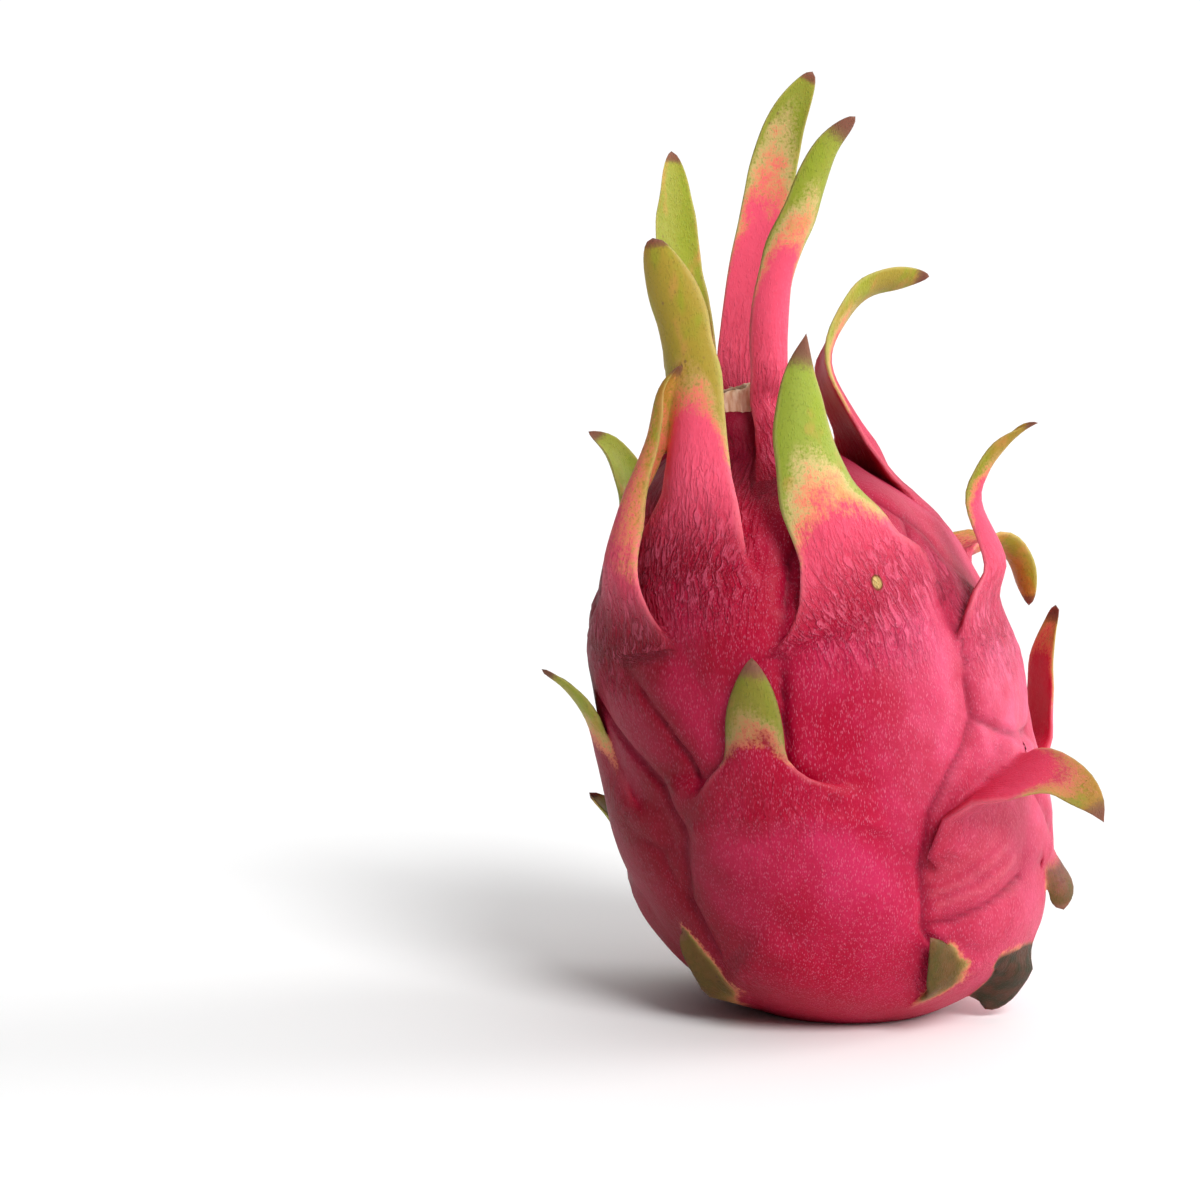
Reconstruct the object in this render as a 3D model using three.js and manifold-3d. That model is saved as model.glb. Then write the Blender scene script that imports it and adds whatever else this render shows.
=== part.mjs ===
// A whole red dragon fruit, standing upright on the small flat spot round its stem end.
// Millimetres, +Z up. The origin is the middle of the flat spot, and -Y is the front.
//
// Two pieces: the fruit, one grown solid of swollen skin with its leafy scales, and the dry
// ring that the flower left on the crown.
//
// Every scale has an axil, the spot where its blade leaves the skin. Below the axil the scale
// is a swollen diamond of the body; above it is a free blade, which is a ball squeezed flat,
// pointed at both ends and bent along a rib.

import * as THREE from "three";
import { mergeVertices } from "three/addons/utils/BufferGeometryUtils.js";
import Module from "manifold-3d";

// ---- Driving dimensions -------------------------------------------------------------------

const BODY_WIDTH = 93; // across the widest part of the body, without the scales
const BODY_HEIGHT = 132; // from the flat spot to the crown
const CROWN_SHIFT = -23; // how far the crown leans along X
const LEAN_POWER = 1.6; // above 1, the body bends over mostly near the crown

// The body's outline from the stem end to the crown: share of half the width, share of the height.
// It starts below the flat spot, which is cut through it.
const OUTLINE = [
  [0, -0.02], [0.3, -0.015], [0.6, 0.03], [0.81, 0.1], [0.945, 0.205], [1, 0.35], [1, 0.5],
  [0.945, 0.64], [0.83, 0.755], [0.68, 0.84], [0.46, 0.895], [0.34, 0.93], [0.3, 0.97], [0.22, 0.995],
  [0, 1],
];

// Skin relief. A diamond is the swollen patch of body below one scale.
const SMALLEST_NECK = 12; // no radius below this is used to measure round the skin
const CREASE_DEPTH = 1.5; // where two diamonds meet
const CREASE_SPREAD = 6; // how far a crease's sides reach
const DIAMOND_DROP = 18; // from an axil down to the middle of its diamond
const DIAMOND_TOP = 0.86; // share of the height above which scales have no diamond of their own
const SWELL = 2.6; // how far a diamond swells out just below its axil
const SWELL_LENGTH = 28; // from the axil down to where the swelling starts
const SWELL_LEDGE = 6; // above the axil it ends within this height
const SWELL_WIDTH = 26; // half the width of the swelling
const RELIEF_START = [2, 14]; // the relief sets in between these heights
const RELIEF_END = [8, 24]; // and ends towards the crown between these radii of the body
const CREASE_START = [8, 34]; // creases set in between these heights

// Scales.
const ROOT_LENGTH = 15; // how far a blade is rooted below its axil
const ROOT_SINK = 5; // how deep the root's end lies under the skin
const LOWEST_ROOT = 2; // no root starts below this height
const FOOT_SINK = 0.3; // how deep the middle of a blade's foot lies at the axil
const MARGIN_SINK = 0.7; // how deep the margins of its foot lie
const BLADE_TIP_THICKNESS = 1.1;
const GRIP = 0.3; // share of a free blade over which it lets go of the skin
const FOOT_POWER = 1.7; // how soon the wider foot narrows into the blade
const FACE_POWER = 0.7; // below 1, the faces of a blade are fuller than an ellipse's
const FLATTEST_BEND = 0.01; // radians, so that a flat blade can still be bent
const LIFT_ON = [0, 0.15]; // the foot's margins rise over these shares of the free blade
const LIFT_OFF = [0.2, 0.5]; // and come down over these

// The dry ring that the flower left on the crown.
const RING_RADIUS = 11.5;
const RING_HEIGHT = 6.5;
const RING_WALL = 2.6;
const RING_DEPTH = 3.2; // from the rim down to its floor
const STUB_RADIUS = 2.4; // what is left of the style in its middle
const STUB_HEIGHT = 1.8;
const RING_SINK = 2.5; // how deep it sits in the crown
const RING_TILT = -15; // degrees about Y, with the crown's lean
const TOUCH_GAP = 0.3; // between the ring and the fruit

// How finely the solids are faceted.
const BODY_AROUND = 50;
const BODY_ALONG = 38;
const BLADE_AROUND = 10;
const ROOT_ROWS = 3;
const FREE_ROWS = 9;
const RIB_SAMPLES = 60; // between two points of a rib, to measure its length
const RING_AROUND = 28;

// The scales. turn is degrees round the body from the front, towards +X; height is the axil's
// share of the body's height; slant turns the scale on the skin, in degrees, so that at 90 its
// blade points back towards -turn and at 180 it hangs; path holds the free rib's points from the
// axil, as [sideways, outwards, up]; wide is half the blade's width, and tip is how it narrows to
// its end, the first number for where and the second for how blunt; foot is how much wider it is
// at the axil on its -turn and +turn side, down to nothing at a share spread of the blade; lift
// is how far those two margins stand up there; cup is how far its margins bend in, in degrees;
// twist turns its end about the rib, in degrees; thick is its thickness at the axil.
const USUAL = { slant: 0, twist: 0, tip: [4, 0.6], lift: [0, 0] };
const SCALES = [
  // The crown, round the ring.
  { name: "back_tall", turn: 180, height: 0.91, wide: 6, tip: [6, 0.55], foot: [6, 6],
    spread: [0.3, 0.3], cup: 30, thick: 4,
    path: [[3.5, -1, 16], [2, 1, 36], [-1.5, 2, 55], [-5, 3, 71], [-11.5, 1, 84]] },
  { name: "front_tall", turn: 26, height: 0.9, wide: 5, tip: [6, 0.55], foot: [5, 5],
    spread: [0.3, 0.3], cup: 50, thick: 4,
    path: [[-2, -1, 9], [-5, -2, 20], [-4.5, -1, 39], [0.5, 1.5, 55], [4.5, 4, 67], [10.5, 6, 75]] },
  { name: "back_left", turn: -140, height: 0.9, wide: 8.4, foot: [6, 6], spread: [0.3, 0.3],
    cup: 35, thick: 4,
    path: [[0, 6, 19], [0.8, 8, 34], [1.2, 9, 49], [1, 9.5, 61], [0.5, 10, 68]] },
  { name: "front_left", turn: -30, height: 0.74, wide: 7.6, tip: [7, 0.5], foot: [12, 9],
    spread: [0.55, 0.4], cup: 40, thick: 5, lift: [0, 1.5],
    path: [[-0.5, -3, 17], [-3, -6, 36], [-7, -7, 52], [-11, -6, 64], [-12, -5, 71]] },
  { name: "right_shoulder", turn: 118, height: 0.8, wide: 7, foot: [12, 20], spread: [0.5, 0.6],
    cup: 20, twist: -35, thick: 5,
    path: [[-1, -9, 11], [-1, -19, 25], [0, -23, 35], [2, -18, 44], [4, -9, 51], [5, 6, 53]] },
  // The upper body.
  { name: "right_back_hook", turn: 125, height: 0.7, wide: 6, foot: [10, 12], spread: [0.5, 0.5],
    cup: 40, thick: 4,
    path: [[0, 8, 5.5], [0, 14, 6.5], [0, 20, 1.5], [0, 24, -9]] },
  { name: "front_green", turn: 22, height: 0.68, wide: 8, tip: [4, 1], foot: [16, 17],
    spread: [0.28, 0.7], cup: 30, thick: 5, lift: [2.5, 1.8],
    path: [[-5.9, -2.5, 13], [-10.6, -5, 30], [-11.7, -8, 48], [-9.6, -10, 59.5]] },
  { name: "right_slim", turn: 70, height: 0.64, wide: 4.3, tip: [5, 0.6], foot: [14, 10],
    spread: [0.55, 0.6], cup: 60, thick: 3.6, lift: [3, 0],
    path: [[0, 1.5, 14], [0, -4, 27], [0, -2.5, 34], [0, 1.5, 39.5], [0, 5.5, 43], [0, 9.5, 45]] },
  { name: "left_folded", turn: -58, height: 0.61, wide: 7, foot: [12, 14], spread: [0.5, 0.6],
    cup: 75, twist: -65, thick: 4, lift: [0, 3],
    path: [[0, 2.5, 16], [2, 0, 31], [5, -4.5, 45], [7.5, -6, 56], [10.5, -10, 62.5]] },
  { name: "back_upper", turn: -170, height: 0.74, wide: 7.5, foot: [12, 12], spread: [0.5, 0.5],
    cup: 35, thick: 4.5,
    path: [[0, 3, 10], [-1, 8, 20], [-2, 15, 27], [-3, 23, 29]] },
  { name: "left_back_upper", turn: -118, height: 0.64, wide: 7, foot: [12, 12], spread: [0.5, 0.5],
    cup: 40, thick: 4.5,
    path: [[0, -1, 14], [0, -1, 26], [2, 2, 35], [4, 7, 40]] },
  { name: "back_right_upper", turn: 165, height: 0.56, wide: 7, foot: [12, 12], spread: [0.5, 0.5],
    cup: 35, thick: 4.5,
    path: [[0, 1, 11], [0, 4, 23], [1, 9, 32], [2, 16, 36]] },
  // The middle.
  { name: "front_short", turn: -16, height: 0.395, wide: 6.8, tip: [4, 0.9], foot: [11, 14],
    spread: [0.35, 0.35], cup: 25, thick: 4.5, lift: [1, 1.4],
    path: [[-0.5, 2, 8], [-1, 3, 19], [-1, 3.5, 31]] },
  { name: "right_bent", turn: 48, height: 0.385, slant: 48, wide: 8.6, tip: [3, 1.1], foot: [12, 10],
    spread: [0.6, 0.6], cup: 15, twist: 35, thick: 4.5, lift: [1, 2],
    path: [[1, 6.5, 5], [3, 12, 6.5], [5, 17, 5], [6, 22, 1.5], [6.5, 25, -2.5]] },
  { name: "right_back", turn: 116, height: 0.355, wide: 6.5, foot: [10, 10], spread: [0.5, 0.5],
    cup: 15, thick: 4.5,
    path: [[0, 5, 7], [0, 7, 16], [0, 7, 27], [0, 10.5, 39]] },
  { name: "left_middle", turn: -78, height: 0.34, wide: 7, foot: [12, 12], spread: [0.5, 0.5],
    cup: 30, thick: 4.5,
    path: [[0, 3, 9], [0, 6, 19], [-1, 11, 26], [-2, 17, 30]] },
  { name: "back_left_middle", turn: -138, height: 0.4, wide: 7.2, foot: [12, 12], spread: [0.5, 0.5],
    cup: 35, thick: 4.5,
    path: [[0, 3, 10], [1, 6, 21], [2, 12, 29], [4, 19, 31]] },
  { name: "back_middle", turn: 172, height: 0.3, wide: 7, foot: [12, 12], spread: [0.5, 0.5],
    cup: 30, thick: 4.5,
    path: [[0, 3, 9], [0, 7, 18], [1, 13, 24], [1, 20, 25]] },
  // The lower body.
  { name: "right_low", turn: 86, height: 0.28, slant: 180, wide: 6.5, foot: [5, 5], spread: [0.5, 0.5],
    cup: 20, twist: 40, thick: 3.6,
    path: [[0, 3, -5], [0, 5, -10], [0, 5.2, -15]] },
  { name: "back_right_low", turn: 140, height: 0.2, wide: 6.8, foot: [10, 10], spread: [0.5, 0.5],
    cup: 30, thick: 4,
    path: [[0, 4, 7], [0, 9, 12], [0, 16, 12]] },
  { name: "back_left_low", turn: -156, height: 0.17, wide: 6.8, foot: [10, 10], spread: [0.5, 0.5],
    cup: 30, thick: 4,
    path: [[0, 4, 6], [0, 9, 11], [0, 14, 13]] },
  { name: "left_low", turn: -102, height: 0.19, wide: 6.8, foot: [10, 10], spread: [0.5, 0.5],
    cup: 30, thick: 4,
    path: [[0, 4, 7], [0, 8, 14], [0, 14, 19]] },
  // Round the stem end.
  { name: "foot_front_right", turn: 37.5, height: 0.088, slant: 40, wide: 8.5, tip: [1, 0.9],
    foot: [2, 9], spread: [0.3, 0.3], cup: 8, thick: 3,
    path: [[-4.5, 3.2, 4.5], [-11, 6.5, 12]] },
  { name: "foot_front_left", turn: -41, height: 0.062, slant: 40, wide: 5.4, tip: [3, 0.8],
    foot: [3, 3], spread: [0.6, 0.6], cup: 15, twist: 20, thick: 3.2,
    path: [[-3.5, 3.8, 4.5], [-7, 7.2, 9.5], [-10, 9.5, 14]] },
  { name: "foot_right", turn: 66, height: 0.125, slant: 180, wide: 6.2, tip: [8, 0.5], foot: [4, 4],
    spread: [0.5, 0.5], cup: 10, twist: 45, thick: 3,
    path: [[0, 0.5, -5], [-0.5, -3.5, -9.5], [-1.5, -8.5, -12.5]] },
  { name: "foot_back_left", turn: -125, height: 0.065, wide: 6.5, foot: [6, 6], spread: [0.6, 0.6],
    cup: 30, thick: 3.4,
    path: [[0, 5, 3], [0, 11, 6], [0, 16, 8]] },
  { name: "foot_back", turn: 165, height: 0.06, wide: 6.5, foot: [6, 6], spread: [0.6, 0.6],
    cup: 30, thick: 3.4,
    path: [[0, 5, 4], [0, 9, 8], [0, 13, 12]] },
].map((scale) => ({ ...USUAL, ...scale }));

const SKIN = new THREE.MeshStandardMaterial({ color: "#d12a5c", roughness: 0.45, metalness: 0 });
const DRY = new THREE.MeshStandardMaterial({ color: "#e3c9a4", roughness: 0.9, metalness: 0 });

const UP = new THREE.Vector3(0, 0, 1);
const { degToRad, lerp, clamp, smoothstep } = THREE.MathUtils;

// ---- The body -----------------------------------------------------------------------------

const outline = new THREE.SplineCurve(
  OUTLINE.map(([wide, high]) => new THREE.Vector2((wide * BODY_WIDTH) / 2, high * BODY_HEIGHT)),
);
const outlineSamples = outline.getPoints(240);

// The plain body's radius at a height.
function plainRadius(z) {
  const next = outlineSamples.findIndex((p) => p.y > z);
  if (next <= 0) return next < 0 ? 0 : outlineSamples[0].x;
  const [low, high] = [outlineSamples[next - 1], outlineSamples[next]];
  return lerp(low.x, high.x, (z - low.y) / (high.y - low.y));
}

// Where the body's axis is at a height.
function axisX(z) {
  return CROWN_SHIFT * Math.pow(clamp(z / BODY_HEIGHT, 0, 1.2), LEAN_POWER);
}

// An angle brought to between -180 and 180 degrees, in radians.
function wrapped(angle) {
  return Math.atan2(Math.sin(angle), Math.cos(angle));
}

// A place on the skin seen from a scale's axil: across the scale, and along it towards its tip.
function onScale(scale, turn, z) {
  const around = Math.max(plainRadius(z), SMALLEST_NECK) * wrapped(turn - degToRad(scale.turn));
  const above = z - scale.height * BODY_HEIGHT;
  const cos = Math.cos(degToRad(scale.slant));
  const sin = Math.sin(degToRad(scale.slant));
  return { across: around * cos + above * sin, along: above * cos - around * sin };
}

// How far a diamond swells out along the line through its axil.
function crest(across) {
  return SWELL * Math.max(1 - (across / SWELL_WIDTH) ** 4, 0) ** 1.5;
}

// How far the skin stands out of the plain body: diamonds with creases between them, each
// swelling towards its axil.
function relief(turn, z) {
  let nearest = Infinity;
  let second = Infinity;
  let swell = 0;
  for (const scale of SCALES) {
    const { across, along } = onScale(scale, turn, z);
    const rise = smoothstep(along, -SWELL_LENGTH, 0) * (1 - smoothstep(along, 0, SWELL_LEDGE));
    swell = Math.max(swell, rise * crest(across));
    if (scale.height > DIAMOND_TOP) continue;
    const distance = Math.hypot(across, along + DIAMOND_DROP);
    if (distance < nearest) [nearest, second] = [distance, nearest];
    else second = Math.min(second, distance);
  }
  const crease = CREASE_DEPTH * Math.exp((nearest - second) / CREASE_SPREAD);
  const fade = smoothstep(z, ...RELIEF_START) * smoothstep(plainRadius(z), ...RELIEF_END);
  return fade * (swell - crease * smoothstep(z, ...CREASE_START));
}

function skinRadius(turn, z) {
  return plainRadius(z) + relief(turn, z);
}

// A point at a distance from the body's axis.
function aroundAxis(turn, radius, z) {
  return new THREE.Vector3(axisX(z) + radius * Math.sin(turn), -radius * Math.cos(turn), z);
}

// A closed ball whose vertices are moved by place(around, along), both from 0 to 1. along runs
// from one pole to the other.
function shapedBall(aroundCount, alongCount, place) {
  const ball = new THREE.SphereGeometry(1, aroundCount, alongCount);
  const { position, uv } = ball.attributes;
  for (let i = 0; i < position.count; i++) {
    const pole = uv.getY(i) === 0 || uv.getY(i) === 1;
    const p = place(pole ? 0 : uv.getX(i) % 1, uv.getY(i));
    position.setXYZ(i, p.x, p.y, p.z);
  }
  return ball;
}

function bodyBall() {
  return shapedBall(BODY_AROUND, BODY_ALONG, (around, along) => {
    const turn = 2 * Math.PI * around;
    const { x: radius, y: z } = outline.getPoint(along);
    return aroundAxis(turn, radius + relief(turn, z), z);
  });
}

// ---- The scales ---------------------------------------------------------------------------

// The rib from its rooted end to the tip, with the share of its length at which the axil lies.
function ribOf(scale) {
  const turn = degToRad(scale.turn);
  const slant = degToRad(scale.slant);
  const axilZ = scale.height * BODY_HEIGHT;
  const rootZ = Math.max(axilZ - ROOT_LENGTH * Math.cos(slant), LOWEST_ROOT);
  const rootTurn = turn + (ROOT_LENGTH * Math.sin(slant)) / Math.max(plainRadius(rootZ), SMALLEST_NECK);
  const out = new THREE.Vector3(Math.sin(turn), -Math.cos(turn), 0);
  const side = new THREE.Vector3(Math.cos(turn), Math.sin(turn), 0);
  const axil = aroundAxis(turn, skinRadius(turn, axilZ) - scale.thick / 2, axilZ);
  const root = aroundAxis(rootTurn, skinRadius(rootTurn, rootZ) - ROOT_SINK, rootZ);
  const free = scale.path.map(([sideways, outwards, up]) =>
    axil.clone().addScaledVector(side, sideways).addScaledVector(out, outwards).addScaledVector(UP, up),
  );
  const curve = new THREE.CatmullRomCurve3([root, axil, ...free], false, "catmullrom", 0.5);
  const samples = curve.getPoints(RIB_SAMPLES * (free.length + 1));
  let whole = 0;
  let rooted = 0;
  for (let i = 1; i < samples.length; i++) {
    whole += samples[i].distanceTo(samples[i - 1]);
    if (i === RIB_SAMPLES) rooted = whole;
  }
  return { curve, out, axilShare: rooted / whole };
}

// Places along the rib, one for each row of the blade's facets. rooted and free say how much of
// the root and of the free blade lies behind the place. The outward normal is carried from one
// place to the next, so that it never flips where the blade bends over.
function framesOf(scale) {
  const { curve, out, axilShare } = ribOf(scale);
  const frames = [];
  const normal = out.clone();
  for (let row = 0; row <= ROOT_ROWS + FREE_ROWS; row++) {
    const rooted = Math.min(row / ROOT_ROWS, 1);
    const free = Math.max((row - ROOT_ROWS) / FREE_ROWS, 0);
    const at = axilShare * rooted + (1 - axilShare) * free;
    const tangent = curve.getTangentAt(at);
    normal.addScaledVector(tangent, -normal.dot(tangent)).normalize();
    const turned = normal.clone().applyAxisAngle(tangent, degToRad(scale.twist) * free);
    const across = new THREE.Vector3().crossVectors(tangent, turned);
    frames.push({ rooted, free, normal: turned, across, point: curve.getPointAt(at) });
  }
  return frames;
}

// Half the blade's width: rounded off at the root, widest at the foot, then nearly even until it
// rounds off to the tip.
function halfWidth(scale, { rooted, free }, side) {
  const [tapering, bluntness] = scale.tip;
  const blade = scale.wide * Math.pow(1 - free ** tapering, bluntness);
  const foot = scale.foot[side] * Math.pow(Math.max(1 - free / scale.spread[side], 0), FOOT_POWER);
  return Math.sqrt(rooted) * (blade + foot);
}

// A scale's blade. around runs from its +turn margin over the inner face and back over the outer.
function bladeBall(scale) {
  const rows = ROOT_ROWS + FREE_ROWS;
  const frames = framesOf(scale);
  return shapedBall(BLADE_AROUND, rows, (around, along) => {
    const frame = frames[Math.round(along * rows)];
    const { rooted, free } = frame;
    const v = Math.cos(2 * Math.PI * around);
    const roundFace = -Math.sin(2 * Math.PI * around);
    const face = Math.sign(roundFace) * Math.abs(roundFace) ** FACE_POWER;
    const side = v < 0 ? 0 : 1;
    const width = halfWidth(scale, frame, side);
    const thickness = rooted * (1 - free ** 10) * lerp(scale.thick, BLADE_TIP_THICKNESS, Math.sqrt(free));

    // Across the blade it is an arc, as round as the body at the foot and as cupped as the
    // scale says further out.
    const { point, across, normal } = frame;
    const letGo = smoothstep(free, 0, GRIP);
    const bodyBend = width / Math.max(plainRadius(point.z), SMALLEST_NECK);
    const bend = lerp(bodyBend, degToRad(scale.cup), letGo) + FLATTEST_BEND;
    const arc = width / bend;
    const p = point.clone();
    p.addScaledVector(across, arc * Math.sin(v * bend));
    p.addScaledVector(normal, (face * thickness) / 2 - arc * (1 - Math.cos(v * bend)));

    // The root follows the skin, and the foot carries on from the top of its diamond.
    const turn = Math.atan2(p.x - axisX(p.z), -p.y);
    const foot = plainRadius(p.z) + crest(onScale(scale, turn, p.z).across);
    const deep = face < 0 ? -scale.thick : lerp(-ROOT_SINK, -FOOT_SINK, rooted);
    const held = (rooted < 1 ? skinRadius(turn, p.z) : foot) + lerp(-MARGIN_SINK, deep, Math.abs(face));
    const radius = lerp(held, Math.hypot(p.x - axisX(p.z), p.y), letGo);
    const lifted = smoothstep(free, ...LIFT_ON) * (1 - smoothstep(free, ...LIFT_OFF));
    return aroundAxis(turn, radius + scale.lift[side] * lifted * Math.abs(v) ** 3, p.z);
  });
}

// ---- The ring on the crown ----------------------------------------------------------------

// A shallow cup with a low stub in the middle. A margin grows it outwards and down, to cut its
// seat with.
function ringGeometry(margin = 0) {
  const outer = RING_RADIUS + margin;
  const inner = RING_RADIUS - RING_WALL;
  const floor = RING_HEIGHT - RING_DEPTH;
  const points = [
    [0, -margin], [outer - 1, -margin], [outer, 1 - margin], [outer + 0.4, RING_HEIGHT - 0.6],
    [outer - 0.3, RING_HEIGHT], [inner, RING_HEIGHT - 0.3], [inner - 1, floor + 0.6],
    [STUB_RADIUS + 0.8, floor], [STUB_RADIUS, floor + STUB_HEIGHT - 0.4], [0, floor + STUB_HEIGHT],
  ].map(([radius, height]) => new THREE.Vector2(radius, height));
  const ring = new THREE.LatheGeometry(points, RING_AROUND);
  ring.rotateX(Math.PI / 2);
  ring.rotateY(degToRad(RING_TILT));
  const seat = BODY_HEIGHT - RING_SINK;
  ring.translate(axisX(seat), 0, seat);
  return ring;
}

// ---- Joining ------------------------------------------------------------------------------

const wasm = await Module();
wasm.setup();

// A closed mesh as a solid that can be joined and cut.
function solidOf(geometry) {
  const bare = geometry.clone();
  bare.deleteAttribute("normal");
  bare.deleteAttribute("uv");
  const merged = mergeVertices(bare, 1e-4);
  return new wasm.Manifold(
    new wasm.Mesh({
      numProp: 3,
      vertProperties: new Float32Array(merged.attributes.position.array),
      triVerts: new Uint32Array(merged.index.array),
    }),
  );
}

function geometryOf(solid) {
  const mesh = solid.getMesh();
  return new THREE.BufferGeometry()
    .setAttribute("position", new THREE.BufferAttribute(mesh.vertProperties, 3))
    .setIndex(new THREE.BufferAttribute(mesh.triVerts, 1));
}

// The solid without the pockets of air that are closed in under a blade's foot.
function outerShell(solid) {
  return solid.decompose().reduce((most, shell) => (shell.volume() > most.volume() ? shell : most));
}

// What lies under the surface that the fruit stands on.
function belowFloor() {
  const size = 4 * BODY_WIDTH;
  return solidOf(new THREE.BoxGeometry(size, size, size).translate(0, 0, -size / 2));
}

function fruitGeometry() {
  let fruit = solidOf(bodyBall());
  for (const scale of SCALES) fruit = fruit.add(solidOf(bladeBall(scale)));
  fruit = fruit.subtract(belowFloor());
  fruit = fruit.subtract(solidOf(ringGeometry(TOUCH_GAP)));
  return geometryOf(outerShell(fruit));
}

const dragonFruit = new THREE.Group();

const fruit = new THREE.Mesh(fruitGeometry(), SKIN);
fruit.name = "fruit";
dragonFruit.add(fruit);

const ring = new THREE.Mesh(ringGeometry(), DRY);
ring.name = "flower_ring";
dragonFruit.add(ring);

export default dragonFruit;
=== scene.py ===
import math

import bpy
import numpy as np
from bpy.props import FloatProperty, FloatVectorProperty, IntProperty, PointerProperty
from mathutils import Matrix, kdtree


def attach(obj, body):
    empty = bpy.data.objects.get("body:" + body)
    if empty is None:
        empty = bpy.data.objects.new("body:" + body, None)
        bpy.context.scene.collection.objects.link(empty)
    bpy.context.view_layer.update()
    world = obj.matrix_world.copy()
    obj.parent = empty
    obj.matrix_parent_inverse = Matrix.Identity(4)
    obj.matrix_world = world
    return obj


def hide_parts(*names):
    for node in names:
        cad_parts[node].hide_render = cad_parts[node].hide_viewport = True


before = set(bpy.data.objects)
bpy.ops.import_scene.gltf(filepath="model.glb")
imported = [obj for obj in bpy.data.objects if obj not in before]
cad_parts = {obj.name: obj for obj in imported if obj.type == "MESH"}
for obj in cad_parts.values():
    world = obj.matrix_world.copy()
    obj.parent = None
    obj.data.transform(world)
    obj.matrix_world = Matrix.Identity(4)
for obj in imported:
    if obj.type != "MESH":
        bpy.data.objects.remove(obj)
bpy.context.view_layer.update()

bl_info = {
    "name": "Dragon Fruit",
    "version": (1, 0, 0),
    "blender": (4, 5, 0),
    "location": "View3D > Sidebar > Dragon Fruit",
    "description": "Grows a whole red dragon fruit with its scales and the dry ring of its flower",
    "category": "Object",
}

MM = 0.001

# ---- What the fruit is grown from ----

# Lengths here are in mm. An axil is the spot where a scale's blade leaves the skin, and its
# cushion is the swollen diamond of skin below it.

# The body's outline from the stem end to the crown: share of half the width, share of the height.
OUTLINE = (
    (0, -0.02), (0.3, -0.015), (0.6, 0.03), (0.81, 0.1), (0.945, 0.205), (1, 0.35), (1, 0.5),
    (0.945, 0.64), (0.83, 0.755), (0.68, 0.84), (0.46, 0.895), (0.34, 0.93), (0.3, 0.97),
    (0.22, 0.995), (0, 1),
)
PROFILE_SAMPLES = 1500
SMALLEST_NECK = 12  # no radius below this is used to measure round the skin
NECK = (0.84, 0.92)  # shares of the height between which the neck begins
RELIEF_START = (2, 14)  # the relief sets in between these heights
RELIEF_END = (8, 24)  # and it fades out between these radii of the body
CREASE_START = (8, 34)  # the creases between cushions set in between these heights
DIAMOND_DROP = 18  # from an axil down to the middle of its diamond
CUSHION_TOP = 0.86  # share of the height above which scales have no diamond of their own
SWELL_LENGTH = 28  # from the axil down to where the cushion starts to swell
SWELL_LEDGE = 5  # above the axil the swelling ends within this height
SWELL_WIDTH = 26  # half the width of the swelling

# How deep or high lines on the skin are, as shares of the crease setting, and how far they reach.
CUSHION_DIP, CUSHION_SLIT = (0.35, 5), (0.75, 1.6)
CREASE_SLIT, CREASE_DIP = (0.45, 1.1), (0.35, 4)
LEDGE_RISE, VEIN_RISE = (0.4, 1.5), (0.12, 0.8)

ROOT_LENGTH = 15  # how far a blade is rooted below its axil
ROOT_SINK = 5  # how deep the root's end lies under the skin
LOWEST_ROOT = 2  # no root starts below this height
FOOT_RISE = 0.15  # how far a blade's foot stands out of the skin at the axil
ROOT_MARGIN_SINK = 1.2  # how deep the margins lie at the root's end
TIP_THICKNESS = 1.1
TIP_INSET = 0.99  # share of a free rib that is grown
GRIP = 0.3  # share of a free blade over which it lets go of the skin
FOOT_POWER = 1.7  # how soon the wider foot narrows into the blade
FLATTEST_BEND = 0.01  # radians, so that a flat blade can still be bent
LIFT_ON, LIFT_OFF = (0, 0.15), (0.2, 0.5)  # shares of the blade where its margins lift and settle
PLEAT_SEED = 20  # body and scales share their pleats
BLADE_AROUND = 40
ROOT_ROWS = 6
ROW_LENGTH = 1.9
FREE_ROWS = (12, 46)  # the fewest and the most rows of faces along a free blade
RIB_SAMPLES = 60

SEAM_REACH = 3.5  # how far round a seam the skin is smoothed
SEAM_PASSES = 14
MARK_REACH = 4  # rounds in which marks spread over a seam
MARK_PASSES = 6

RING_TILT = -15  # degrees about Y, with the crown's lean
RING_SINK = 2.5  # how deep the ring sits in the crown
RING_HOLLOW = 2.3  # how far above its seat the crown ends inside the ring
RING_INSIDE = (10, 8)  # radii of the crown between which that sets in
RING_AROUND = 300
RING_ROWS = 60
RING_STRANDS = 26

# The ring's outline from the middle of its underside over the rim to the middle of its floor:
# share of the radius, mm added to that, share of the height.
RING_PROFILE = (
    (0, 0, 0), (1, -1, 0), (1, 0, 0.15), (1, 0.2, 0.9), (1, -0.4, 1), (1, -2.6, 0.95),
    (1, -3.6, 0.6), (0, 3.2, 0.5), (0, 2.2, 0.72), (0, 0, 0.78),
)
RIM_POINT = 4

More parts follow.
